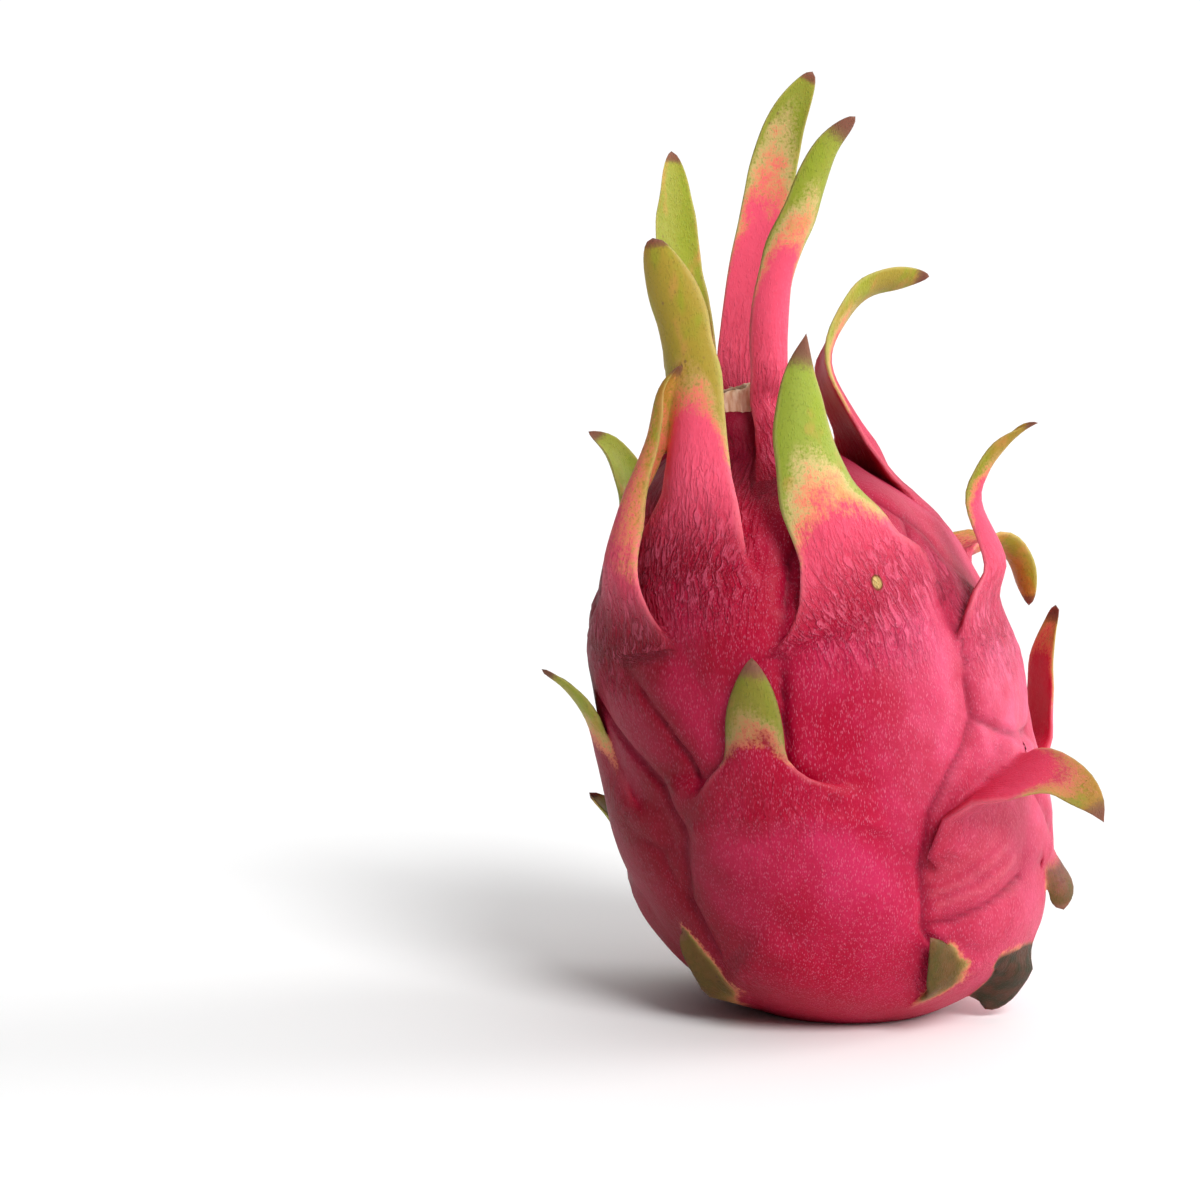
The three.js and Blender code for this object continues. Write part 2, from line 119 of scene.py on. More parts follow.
# Every scale: turn is degrees round the body from the front towards +X, height is its axil's
# share of the body's height, and slant turns it on the skin. path is the free rib from the axil
# as (sideways, outwards, up), wide is half the blade, and tip is how it narrows to its end: the
# first number for where, the second for how blunt. foot is how much wider the blade is at the
# axil on its left and its right, seen from outside with the tip up. spread is the share of the
# blade over which that is lost, and lift is how far those two margins stand up. cup is how far
# the margins bend in and twist how far the end is turned, in degrees, and thick is the thickness
# at the axil.
# pink and green are the shares of the blade where the pink ends and the green is full, ochre
# turns the green towards ochre, dry is the share of the blade that has dried brown, dark is how
# far it has darkened (0.4 is all the way), and pale is how far its pink has bleached.
SCALES = {
    # The crown, round the ring.
    "back_tall": dict(
        turn=180, height=0.91, wide=6, foot=(6, 6), spread=(0.3, 0.3), tip=(6, 0.55),
        path=((3.5, -1, 16), (2, 1, 36), (-1.5, 2, 55), (-5, 3, 71), (-11.5, 1, 84)), pink=0.5,
        green=0.86, dry=0.03, pale=1.2),
    "front_tall": dict(
        turn=26, height=0.9, wide=5, foot=(5, 5), spread=(0.3, 0.3), tip=(6, 0.55), cup=50,
        path=((-2, -1, 9), (-5, -2, 20), (-4.5, -1, 39), (0.5, 1.5, 55), (4.5, 4, 67), (10.5, 6, 75)),
        pink=0.58, green=0.82, dry=0.08, pale=1),
    "back_left": dict(
        turn=-140, height=0.9, wide=8.4, foot=(6, 6), spread=(0.3, 0.3), cup=35,
        path=((0, 6, 19), (0.8, 8, 34), (1.2, 9, 49), (1, 9.5, 61), (0.5, 10, 68)), pink=0.16,
        green=0.6, ochre=0.15, dry=0.04, pale=1),
    "front_left": dict(
        turn=-30, height=0.74, wide=7.6, foot=(12, 9), spread=(0.55, 0.4), tip=(7, 0.5),
        lift=(0, 1.5), cup=40, thick=5,
        path=((-0.5, -3, 17), (-3, -6, 36), (-7, -7, 52), (-11, -6, 64), (-12, -5, 71)), pink=0.46,
        green=0.64, ochre=0.55, dry=0.03, pale=1.25),
    "right_shoulder": dict(
        turn=118, height=0.8, wide=7, foot=(12, 20), spread=(0.5, 0.6), cup=20, twist=-35, thick=5,
        path=((-1, -9, 11), (-1, -19, 25), (0, -23, 35), (2, -18, 44), (4, -9, 51), (5, 6, 53)),
        pink=0.56, green=0.74, ochre=0.45, dry=0.05),
    # The upper body.
    "right_back_hook": dict(
        turn=125, height=0.7, wide=6, foot=(10, 12), cup=40,
        path=((0, 8, 5.5), (0, 14, 6.5), (0, 20, 1.5), (0, 24, -9)), pink=0.1, green=0.6, ochre=0.9,
        dry=0.08),
    "front_green": dict(
        turn=22, height=0.68, wide=8, foot=(16, 17), spread=(0.28, 0.7), tip=(4, 1),
        lift=(2.5, 1.8), thick=5,
        path=((-5.9, -2.5, 13), (-10.6, -5, 30), (-11.7, -8, 48), (-9.6, -10, 59.5)), pink=0.34,
        green=0.64, ochre=0, dry=0.12, pale=0.8),
    "right_slim": dict(
        turn=70, height=0.64, wide=4.3, foot=(14, 10), spread=(0.55, 0.6), tip=(5, 0.6),
        lift=(3, 0), cup=60, thick=3.6,
        path=((0, 1.5, 14), (0, -4, 27), (0, -2.5, 34), (0, 1.5, 39.5), (0, 5.5, 43), (0, 9.5, 45)),
        pink=0.6, green=0.84, ochre=0.6, dry=0.06, pale=0.6),
    "left_folded": dict(
        turn=-58, height=0.61, wide=7, foot=(12, 14), spread=(0.5, 0.6), lift=(0, 3), cup=75,
        twist=-65, path=((0, 2.5, 16), (2, 0, 31), (5, -4.5, 45), (7.5, -6, 56), (10.5, -10, 62.5)),
        pink=0.25, green=1.15, ochre=0.9, dry=0.06, pale=1),
    "back_upper": dict(
        turn=-170, height=0.74, wide=7.5, cup=35, thick=4.5,
        path=((0, 3, 10), (-1, 8, 20), (-2, 15, 27), (-3, 23, 29)), pink=0.4, green=0.66, ochre=0.2,
        dry=0.06),
    "left_back_upper": dict(
        turn=-118, height=0.64, wide=7, cup=40, thick=4.5,
        path=((0, -1, 14), (0, -1, 26), (2, 2, 35), (4, 7, 40)), pink=0.36, green=0.6, dry=0.08),
    "back_right_upper": dict(
        turn=165, height=0.56, wide=7, cup=35, thick=4.5,
        path=((0, 1, 11), (0, 4, 23), (1, 9, 32), (2, 16, 36)), pink=0.4, green=0.62, ochre=0.3,
        dry=0.08),
    # The middle.
    "front_short": dict(
        turn=-16, height=0.395, wide=6.8, foot=(11, 14), spread=(0.35, 0.35), tip=(4, 0.9),
        lift=(1, 1.4), cup=25, thick=4.5, path=((-0.5, 2, 8), (-1, 3, 19), (-1, 3.5, 31)),
        pink=0.38, green=0.72, ochre=0.3, dry=0.14, dark=0.18, pale=0),
    "right_bent": dict(
        turn=48, height=0.385, slant=48, wide=8.6, foot=(12, 10), spread=(0.6, 0.6), tip=(3, 1.1),
        lift=(1, 2), cup=15, twist=35, thick=4.5,
        path=((1, 6.5, 5), (3, 12, 6.5), (5, 17, 5), (6, 22, 1.5), (6.5, 25, -2.5)), pink=0.4,
        green=0.85, ochre=0.9, dry=0.14, dark=0.15, pale=0.5),
    "right_back": dict(
        turn=116, height=0.355, wide=6.5, foot=(10, 10), cup=15, thick=4.5,
        path=((0, 5, 7), (0, 7, 16), (0, 7, 27), (0, 10.5, 39)), pink=0.62, green=1, ochre=0.7),
    "left_middle": dict(
        turn=-78, height=0.34, wide=7, thick=4.5,
        path=((0, 3, 9), (0, 6, 19), (-1, 11, 26), (-2, 17, 30)), pink=0.4, green=0.66, ochre=0.3),
    "back_left_middle": dict(
        turn=-138, height=0.4, wide=7.2, cup=35, thick=4.5,
        path=((0, 3, 10), (1, 6, 21), (2, 12, 29), (4, 19, 31)), pink=0.36, green=0.6, dry=0.08),
    "back_middle": dict(
        turn=172, height=0.3, wide=7, thick=4.5,
        path=((0, 3, 9), (0, 7, 18), (1, 13, 24), (1, 20, 25)), pink=0.4, green=0.64, ochre=0.4),
    # The lower body.
    "right_low": dict(
        turn=86, height=0.28, slant=180, wide=6.5, foot=(5, 5), cup=20, twist=40, thick=3.6,
        path=((0, 3, -5), (0, 5, -10), (0, 5.2, -15)), pink=0.2, green=1.2, ochre=1, dark=0.3),
    "back_right_low": dict(
        turn=140, height=0.2, wide=6.8, foot=(10, 10), path=((0, 4, 7), (0, 9, 12), (0, 16, 12)),
        pink=0.3, green=0.6, ochre=0.4),
    "back_left_low": dict(
        turn=-156, height=0.17, wide=6.8, foot=(10, 10), path=((0, 4, 6), (0, 9, 11), (0, 14, 13)),
        pink=0.3, green=0.6, ochre=0.4, dark=0.12),
    "left_low": dict(
        turn=-102, height=0.19, wide=6.8, foot=(10, 10), path=((0, 4, 7), (0, 8, 14), (0, 14, 19)),
        pink=0.3, green=0.6, ochre=0.4),
    # Round the stem end.
    "foot_front_right": dict(
        turn=37.5, height=0.088, slant=40, wide=8.5, foot=(2, 9), spread=(0.3, 0.3), tip=(1, 0.9),
        cup=8, thick=3, path=((-4.5, 3.2, 4.5), (-11, 6.5, 12)), pink=-0.4, green=0.15, ochre=0.8,
        dry=0.06, dark=0.3),
    "foot_front_left": dict(
        turn=-41, height=0.062, slant=40, wide=5.4, foot=(3, 3), spread=(0.6, 0.6), tip=(3, 0.8),
        cup=15, twist=20, thick=3.2, path=((-3.5, 3.8, 4.5), (-7, 7.2, 9.5), (-10, 9.5, 14)),
        pink=-0.4, green=0.15, ochre=0.7, dry=0.14, dark=0.3),
    "foot_right": dict(
        turn=66, height=0.125, slant=180, wide=6.2, foot=(4, 4), tip=(8, 0.5), cup=10, twist=45,
        thick=3, path=((0, 0.5, -5), (-0.5, -3.5, -9.5), (-1.5, -8.5, -12.5)), pink=-0.4, green=0,
        ochre=0.4, dry=0, dark=0.95),
    "foot_back_left": dict(
        turn=-125, height=0.065, wide=6.5, foot=(6, 6), spread=(0.6, 0.6), thick=3.4,
        path=((0, 5, 3), (0, 11, 6), (0, 16, 8)), pink=0.1, green=0.4, ochre=0.5, dark=0.2),
    "foot_back": dict(
        turn=165, height=0.06, wide=6.5, foot=(6, 6), spread=(0.6, 0.6), thick=3.4,
        path=((0, 5, 4), (0, 9, 8), (0, 13, 12)), pink=0.1, green=0.4, ochre=0.5, dark=0.23),
}

USUAL = dict(
    slant=0, foot=(12, 12), spread=(0.5, 0.5), tip=(4, 0.6), lift=(0, 0), cup=30, twist=0, thick=4,
    ochre=0.1, dry=0.1, dark=0, pale=0.15)
SCALES = {name: {**USUAL, **scale} for name, scale in SCALES.items()}

# Sharp creases, ledges and veins on the front of the skin, each a line through places given as
# degrees round the body and share of its height.
CREASES = (
    ((52, 0.66), (48, 0.578), (48, 0.515), (44, 0.48), (35.5, 0.434), (28, 0.375), (24, 0.286),
     (25, 0.191), (29, 0.15)),
    ((48, 0.515), (54, 0.5), (61.5, 0.481), (79, 0.473)),
    ((25, 0.191), (33.5, 0.197), (46, 0.218), (60, 0.25)),
    ((-72, 0.52), (-58, 0.46), (-46, 0.4), (-41, 0.33), (-46, 0.22), (-42, 0.13)),
)
LEDGES = (
    ((-36, 0.34), (-26, 0.365), (-15, 0.375), (7, 0.373), (14, 0.36)),
    ((55, 0.47), (66, 0.455), (80, 0.45)),
)
VEINS = (
    ((26, 0.27), (34, 0.285), (46, 0.33)),
    ((27, 0.245), (38, 0.265), (50, 0.31)),
    ((29, 0.225), (42, 0.245), (55, 0.285)),
)
WART = (27.5, 0.737)  # degrees round the body, share of its height
WART_RISE, WART_WIDTH = 0.6, 1.3
SCAR = (0.004, 0.002, 0)  # the middle of the stem's scar, in metres


# Colours that are no setting.
# Painted shade: the dark crimson that the skin turns to on the fruit's left, away from the sun.
PAINTED_SHADE_CRIMSON = (0.2, 0.0, 0.008)  # the side away from the sun
FLECK, FINE_DASH, BLEACHED = (0.8, 0.2, 0.32), (0.8, 0.16, 0.26), (0.9, 0.1, 0.18)
# The first two: a painted highlight on the fold crests and painted shade in the fold valleys.
PAINTED_CREST_HIGHLIGHT, PAINTED_FOLD_SHADE, INNER_SIDE = (0.9, 0.2, 0.33), (0.4, 0.002, 0.03), (0.6, 0.0, 0.034)
FRESH_GREEN, RUST, LEAF_GRAIN = (0.27, 0.34, 0.02), (0.62, 0.27, 0.08), (0.1, 0.13, 0.02)
PINK_MARGIN, PALE_MARGIN, OLD_BROWN = (0.8, 0.2, 0.24), (0.52, 0.42, 0.16), (0.075, 0.03, 0.016)
WART_RIM, WART_TOP = (0.2, 0.03, 0.01), (0.6, 0.4, 0.14)
FIBRE_SHADE, FIBRE_BLOTCH, CRUST_GRAIN = (0.62, 0.36, 0.2), (0.5, 0.26, 0.12), (0.34, 0.19, 0.09)
STREAK = (0.55, 2.0)  # grain of the streaks across and along a scale, in mm

CAMERA_PLACE = (-0.005, -0.7956, 0.1836)  # in metres
CAMERA_DOWN, CAMERA_TURN = 6.78, 3.53  # degrees below level, and about Z
BRIGHT_SIDE = (0.85, 0.35, 0.4)  # where most of the soft light comes from

# ---- Settings ----


class FruitShape(bpy.types.PropertyGroup):
    """Sizes of the fruit."""

    width: FloatProperty(
        name="Width", description="Across the body, without the scales", default=0.093, unit="LENGTH")
    height: FloatProperty(
        name="Height", description="From the flat spot to the crown", default=0.132, unit="LENGTH")
    crown_shift: FloatProperty(
        name="Crown shift", description="How far the crown leans along X", default=-0.023, unit="LENGTH")
    lean_power: FloatProperty(
        name="Lean power", description="Above 1 the body bends over mostly near the crown", default=1.6)
    swell: FloatProperty(
        name="Swell", description="How far the skin swells out below a scale", default=0.0026,
        unit="LENGTH")
    crease: FloatProperty(
        name="Crease", description="Depth of the creases between the scales' cushions", default=0.002,
        unit="LENGTH")
    folds: FloatProperty(
        name="Folds", description="Depth of the small folds round each scale's foot", default=0.00032,
        unit="LENGTH")
    around: IntProperty(name="Faces around", description="Faces round the body", default=320)
    along: IntProperty(name="Faces along", description="Faces from the stem end to the crown", default=180)


class FruitColours(bpy.types.PropertyGroup):
    """Colours of the skin and the scales."""

    crimson: FloatVectorProperty(
        name="Crimson", description="The skin", subtype="COLOR", size=3, default=(0.39, 0.0, 0.025))
    rose: FloatVectorProperty(
        name="Rose", description="Paler patches of the skin", subtype="COLOR", size=3,
        default=(0.53, 0.018, 0.085))
    # Painted sheen: the skin on the fruit's right is painted paler, as the sheen of the light from that
    # side.
    painted_sheen: FloatVectorProperty(
        name="Dusty", description="Bleached skin on the fruit's right", subtype="COLOR", size=3,
        default=(0.84, 0.17, 0.3))
    # Painted shade: the colour laid into the creases, on the neck and under the blades' feet.
    shade: FloatVectorProperty(
        name="Shade", description="Skin in creases and on the neck", subtype="COLOR", size=3,
        default=(0.17, 0.002, 0.02))
    salmon: FloatVectorProperty(
        name="Salmon", description="Where pink turns to green", subtype="COLOR", size=3,
        default=(0.8, 0.24, 0.13))
    straw: FloatVectorProperty(
        name="Straw", description="Yellow next to the green", subtype="COLOR", size=3,
        default=(0.57, 0.45, 0.17))
    green: FloatVectorProperty(
        name="Green", description="Green of a blade", subtype="COLOR", size=3,
        default=(0.28, 0.34, 0.04))
    ochre: FloatVectorProperty(
        name="Ochre", description="A blade that has turned ochre", subtype="COLOR", size=3,
        default=(0.48, 0.23, 0.03))
    brown: FloatVectorProperty(
        name="Brown", description="Dried tips", subtype="COLOR", size=3, default=(0.19, 0.08, 0.05))
    olive: FloatVectorProperty(
        name="Olive", description="Old scales at the stem end", subtype="COLOR", size=3,
        default=(0.03, 0.024, 0.009))


class RingShape(bpy.types.PropertyGroup):
    """Sizes and colours of the dry ring of the flower."""

    radius: FloatProperty(
        name="Radius", description="Outer radius of the ring", default=0.0115, unit="LENGTH")
    height: FloatProperty(name="Height", description="Height of the ring", default=0.0065, unit="LENGTH")
    cream: FloatVectorProperty(
        name="Cream", description="The dry fibres", subtype="COLOR", size=3, default=(0.88, 0.72, 0.52))
    crust: FloatVectorProperty(
        name="Crust", description="The dark inside", subtype="COLOR", size=3, default=(0.1, 0.045, 0.02))


class StageLook(bpy.types.PropertyGroup):
    """The floor, the lamps and the camera."""

    floor: FloatVectorProperty(
        name="Floor", description="Colour of the floor", subtype="COLOR", size=3, default=(0.93, 0.93, 0.93))
    backdrop: FloatProperty(name="Backdrop", description="Brightness behind the floor", default=1.05)
    lens: FloatProperty(name="Lens", description="Focal length in mm", default=110.4)


# ---- Tools ----


def clear_selection():
    bpy.context.view_layer.update()
    bpy.ops.object.select_all(action="DESELECT")


def pick(obj):
    clear_selection()
    obj.select_set(True)
    bpy.context.view_layer.objects.active = obj


def new_sphere(name, segments, rings):
    """A primitive ball, and for each of its vertices the share of a turn and the share of the
    way from its lowest pole to its highest."""
    clear_selection()
    bpy.ops.mesh.primitive_uv_sphere_add(segments=segments, ring_count=rings)
    obj = bpy.context.object
    obj.name = obj.data.name = name
    co = vertices_of(obj)
    along = np.rint((1 - np.arccos(np.clip(co[:, 2], -1, 1)) / math.pi) * rings) / rings
    around = np.rint(np.arctan2(co[:, 1], co[:, 0]) / (2 * math.pi) * segments) / segments % 1
    around[(along == 0) | (along == 1)] = 0
    return obj, around, along


def vertices_of(obj):
    co = np.empty(len(obj.data.vertices) * 3, np.float32)
    obj.data.vertices.foreach_get("co", co)
    return co.reshape(-1, 3).astype(float)


def put_vertices(obj, places):
    obj.data.vertices.foreach_set("co", places.astype(np.float32).ravel())
    obj.data.update()


def put_mark(obj, name, values):
    """Gives every vertex a value that the material reads."""
    layer = obj.data.attributes.new(name, "FLOAT", "POINT")
    values = np.broadcast_to(values, len(obj.data.vertices))
    layer.data.foreach_set("value", values.astype(np.float32))


def smoothstep(x, low, high):
    t = np.clip((x - low) / (high - low), 0, 1)
    return t * t * (3 - 2 * t)


def lerp(a, b, t):
    return a + (b - a) * t


def bell(x, width):
    return np.exp(-((x / width) ** 2))


def value_noise(x, y, seed, period=256):
    """Smooth noise from -1 to 1 over two coordinates, the first of which repeats."""
    table = np.random.default_rng(seed).random((period, 256)) * 2 - 1
    xi, yi = np.floor(x).astype(int), np.floor(y).astype(int)
    u, v = x - xi, y - yi
    u, v = u * u * (3 - 2 * u), v * v * (3 - 2 * v)
    x0, x1 = xi % period, (xi + 1) % period
    y0, y1 = yi % 256, (yi + 1) % 256
    low = lerp(table[x0, y0], table[x1, y0], u)
    high = lerp(table[x0, y1], table[x1, y1], u)
    return lerp(low, high, v)


def noise_round(turn, z, cells, height, seed):
    """Noise on the skin with so many cells in a round, each so high."""
    return value_noise(turn / (2 * math.pi) * cells, z / height, seed, cells)


def spline(p0, p1, p2, p3, t):
    """A Catmull-Rom curve between p1 and p2."""
    v0, v1 = (p2 - p0) / 2, (p3 - p1) / 2
    return (2 * p1 - 2 * p2 + v0 + v1) * t**3 + (-3 * p1 + 3 * p2 - 2 * v0 - v1) * t**2 + v0 * t + p1


def run_along(points):
    """How far it is along a line to each of its points."""
    steps = np.linalg.norm(np.diff(points, axis=0), axis=1)
    return np.concatenate([[0], np.cumsum(steps)])


# ---- The body ----


class Body:
    """The plain body and the relief of its skin. Lengths are in mm."""

    def __init__(self, shape):
        self.width, self.height = shape.width / MM, shape.height / MM
        self.shift, self.lean = shape.crown_shift / MM, shape.lean_power
        self.swell, self.crease = shape.swell / MM, shape.crease / MM
        self.folds = shape.folds / MM
        points = np.array(OUTLINE, float) * (self.width / 2, self.height)
        t = np.linspace(0, len(points) - 1, PROFILE_SAMPLES)
        i = np.minimum(t.astype(int), len(points) - 2)
        t = (t - i)[:, None]
        before, after = points[np.maximum(i - 1, 0)], points[np.minimum(i + 2, len(points) - 1)]
        self.profile = spline(before, points[i], points[i + 1], after, t)
        self.run = run_along(self.profile)
        self.run /= self.run[-1]

    def radius(self, z):
        return np.interp(z, np.maximum.accumulate(self.profile[:, 1]), self.profile[:, 0])

    def axis(self, z):
        return self.shift * np.clip(z / self.height, 0, 1.2) ** self.lean

    def place(self, turn, radius, z):
        return np.stack([self.axis(z) + radius * np.sin(turn), -radius * np.cos(turn), z], -1)

    def on_scale(self, scale, turn, z):
        """Across a scale and along it towards its tip, from its axil."""
        away = turn - math.radians(scale["turn"])
        away = np.arctan2(np.sin(away), np.cos(away))
        around = np.maximum(self.radius(z), SMALLEST_NECK) * away
        above = z - scale["height"] * self.height
        cos, sin = math.cos(math.radians(scale["slant"])), math.sin(math.radians(scale["slant"]))
        return around * cos + above * sin, above * cos - around * sin

    def crest(self, across):
        return self.swell * np.maximum(1 - (across / SWELL_WIDTH) ** 4, 0) ** 1.5

    def unevenness(self, turn, z):
        """Slow bumps that body and scales share."""
        slow = noise_round(turn, z, 16, 17, seed=3)
        quick = noise_round(turn, z, 44, 6.5, seed=4)
        return 0.45 * slow + 0.14 * quick

    def pleats(self, across, along):
        """Small folds that run along a scale, 2 to 4 mm apart."""
        bend = 2.2 * value_noise(across / 7, along / 7, PLEAT_SEED)
        fine = value_noise((across + bend) / 1.5, along / 4, PLEAT_SEED + 1)
        broad = value_noise((across + bend) / 2.9, along / 8, PLEAT_SEED + 2)
        return self.folds * (1.1 * broad + 0.9 * fine)

    def distance_to(self, lines, turn, z):
        """How far places on the skin lie from the nearest of some lines."""
        turn = np.arctan2(np.sin(turn), np.cos(turn))
        half = self.width / 2
        x = turn * half + 0.7 * value_noise(turn * 9, z / 5, seed=11)
        nearest = np.full(len(z), np.inf)
        for line in lines:
            ends = [(math.radians(turned) * half, share * self.height) for turned, share in line]
            for (x0, z0), (x1, z1) in zip(ends, ends[1:]):
                along = (x - x0) * (x1 - x0) + (z - z0) * (z1 - z0)
                along = np.clip(along / math.hypot(x1 - x0, z1 - z0) ** 2, 0, 1)
                away = np.hypot(x - x0 - along * (x1 - x0), z - z0 - along * (z1 - z0))
                nearest = np.minimum(nearest, away)
        return nearest

    def relief(self, turn, z):
        """How far the skin stands out of the plain body, and what lies where on it."""
        nearest = np.full(len(z), np.inf)
        second = nearest.copy()
        swell, across, along, wrinkled = np.zeros((4, len(z)))
        drift = 3.2 * noise_round(turn, z, 14, 20, seed=5) + 0.9 * noise_round(turn, z, 60, 5, seed=6)
        for number, scale in enumerate(SCALES.values()):
            x, y = self.on_scale(scale, turn, z)
            rise = smoothstep(y, -SWELL_LENGTH, 0) * (1 - smoothstep(y, 0.5, SWELL_LEDGE))
            swell = np.maximum(swell, rise * self.crest(x))
            if scale["height"] > CUSHION_TOP:
                continue
            distance = np.hypot(x, y + DIAMOND_DROP) + drift * math.cos(7.1 * number)
            closer = distance < nearest
            second = np.where(closer, nearest, np.minimum(second, distance))
            nearest = np.where(closer, distance, nearest)
            across, along = np.where(closer, x, across), np.where(closer, y, along)
            wrinkled = np.where(closer, wrinkling(scale), wrinkled)
        gap = second - nearest
        fade = smoothstep(z, *RELIEF_START) * smoothstep(self.radius(z), *RELIEF_END)

        # Creases between the cushions, and the lines on the front.
        near = self.distance_to(CREASES, turn, z)
        line = smoothstep(noise_round(turn, z, 12, 24, seed=8), -0.5, 0.5)
        line *= smoothstep(near, 2, 12)
        crease = self.crease * (
            CUSHION_DIP[0] * np.exp(-gap / CUSHION_DIP[1])
            + CUSHION_SLIT[0] * line * np.exp(-gap / CUSHION_SLIT[1]))
        crease *= smoothstep(z, *CREASE_START)
        crease += self.crease * (
            CREASE_SLIT[0] * bell(near, CREASE_SLIT[1]) + CREASE_DIP[0] * np.exp(-near / CREASE_DIP[1]))
        ledge = bell(self.distance_to(LEDGES, turn, z), LEDGE_RISE[1])
        crease -= LEDGE_RISE[0] * self.crease * ledge
        vein = bell(self.distance_to(VEINS, turn, z), VEIN_RISE[1])
        crease -= VEIN_RISE[0] * self.crease * vein

        # Pleats round the scales' feet, and the wrinkles of the neck.
        fold = fade * wrinkled * smoothstep(gap, 0, 6)
        fold *= np.exp(-((across / 15) ** 4)) * smoothstep(along, -16, -1)
        neck = smoothstep(z, NECK[0] * self.height, NECK[1] * self.height)
        height = fade * (swell - crease + self.unevenness(turn, z))
        height += fold * self.pleats(across, along)
        height += neck * 0.7 * noise_round(turn, z, 26, 14, seed=9)
        # Paler middle of each cushion, fading out towards the neck, and towards the bottom as painted shade.
        bloom_and_shade = fade * smoothstep(gap, 1, 16) * smoothstep(z, 10, 40)
        bloom_and_shade *= 1 - 0.8 * smoothstep(z, 86, 104)
        return dict(height=height, gap=gap, near=near, vein=vein, across=across, along=along,
                    fold=fold, neck=neck, fade=fade, bloom_and_shade=bloom_and_shade,
                    line=line * smoothstep(z, *CREASE_START))


def wrinkling(scale):
    """How wrinkled a scale's foot is: the high ones are, the low ones hardly."""
    return 0.2 + 0.8 * smoothstep(scale["height"], 0.42, 0.6)


# What a vertex carries for the material. ripe runs from pink to green, dry to brown, edge marks
# pale margins, deep marks painted shade in creases, on the neck and under a blade's foot, inner
# the side towards the crown, ochre and dark as in SCALES, fold the pleats, bloom_and_shade the
# paler middle of a cushion, fading out low down as painted shade, blade what stands free of the
# skin, and across and along lie along the scale in mm.
MARKS = (
    "ripe", "dry", "edge", "deep", "inner", "ochre", "dark", "fold", "across", "along", "bloom_and_shade",
    "blade",
)


def put_marks(obj, marks):
    """Writes the marks, and 1 as kept, which a seam's new vertices lack."""
    for name in MARKS:
        put_mark(obj, name, marks.get(name, 0))
    put_mark(obj, "kept", 1)


def grow_body(body, shape):
    obj, around, along = new_sphere("fruit_skin", shape.around, shape.along)
    turn = 2 * math.pi * around + math.pi / 2
    radius = np.interp(along, body.run, body.profile[:, 0])
    z = np.interp(along, body.run, body.profile[:, 1])
    skin = body.relief(turn, z)
    places = body.place(turn, radius + skin["height"], z)
    seat = body.height - RING_SINK
    lean = (places[:, 0] - body.axis(seat)) * math.tan(math.radians(RING_TILT))
    under_ring = smoothstep(radius, *RING_INSIDE) * (along > 0.5)
    places[:, 2] -= np.maximum(places[:, 2] - (seat + RING_HOLLOW - lean), 0) * under_ring
    put_vertices(obj, places * MM)
    # Painted shade in the sharp creases, along the lines of CREASES and on the neck.
    deep = skin["fade"] * skin["line"] * np.exp(-skin["gap"] / 1.3) + skin["neck"]
    deep += 0.75 * bell(skin["near"], 0.8)
    marks = {name: skin[name] for name in ("fold", "across", "along", "bloom_and_shade")}
    put_marks(obj, dict(marks, deep=np.clip(deep, 0, 1), edge=0.5 * skin["vein"]))
    return obj


# ---- The scales ----


def rib_of(body, scale):
    """Points along a scale's rib, close together: from the root's end past the axil to the tip."""
    turn, slant = math.radians(scale["turn"]), math.radians(scale["slant"])
    axil_z = scale["height"] * body.height
    root_z = max(axil_z - ROOT_LENGTH * math.cos(slant), LOWEST_ROOT)
    root_turn = turn + ROOT_LENGTH * math.sin(slant) / max(body.radius(root_z), SMALLEST_NECK)

    def on_skin(at_turn, z, sink):
        height = body.relief(np.array([at_turn]), np.array([float(z)]))["height"][0]
        return body.place(at_turn, body.radius(z) + height - sink, float(z))

    out = np.array([math.sin(turn), -math.cos(turn), 0])
    side = np.array([math.cos(turn), math.sin(turn), 0])
    up = np.array([0, 0, 1.0])
    axil = on_skin(turn, axil_z, scale["thick"] / 2)
    root = on_skin(root_turn, root_z, ROOT_SINK)
    free = [axil + side * a + out * b + up * c for a, b, c in scale["path"]]
    points = np.array([root, axil, *free])
    points = np.vstack([2 * points[0] - points[1], points, 2 * points[-1] - points[-2]])
    t = np.linspace(0, 1, RIB_SAMPLES, endpoint=False)[:, None]
    spans = [spline(*points[i : i + 4], t) for i in range(len(points) - 3)]
    return np.vstack([*spans, points[-2]]), out


def frames_of(body, scale):
    """A row each along a scale's rib: point, normal, across, rooted, free, and run from the axil."""
    curve, normal = rib_of(body, scale)
    run = run_along(curve)
    rooted_run = run[RIB_SAMPLES]
    free_rows = int(np.clip((run[-1] - rooted_run) / ROW_LENGTH, *FREE_ROWS))
    rows = ROOT_ROWS + free_rows
    count = np.arange(rows + 1)
    rooted = np.minimum(count / ROOT_ROWS, 1)
    free = 1 - (1 - np.maximum((count - ROOT_ROWS) / free_rows, 0)) ** 1.25
    at = rooted_run * rooted + (run[-1] - rooted_run) * free * TIP_INSET
    point = np.stack([np.interp(at, run, curve[:, i]) for i in range(3)], -1)
    slopes = np.gradient(curve, axis=0)
    tangent = np.stack([np.interp(at, run, slopes[:, i]) for i in range(3)], -1)
    tangent /= np.linalg.norm(tangent, axis=1)[:, None]
    normals, acrosses = [], []
    for row in range(rows + 1):
        normal = normal - tangent[row] * (normal @ tangent[row])
        normal /= np.linalg.norm(normal)
        angle = math.radians(scale["twist"]) * free[row]
        side = np.cross(tangent[row], normal)
        turned = normal * math.cos(angle) + side * math.sin(angle)
        normals.append(turned)
        acrosses.append(np.cross(tangent[row], turned))
    return dict(point=point, normal=np.array(normals), across=np.array(acrosses), rooted=rooted,
                free=free, run=at - rooted_run, rows=rows)


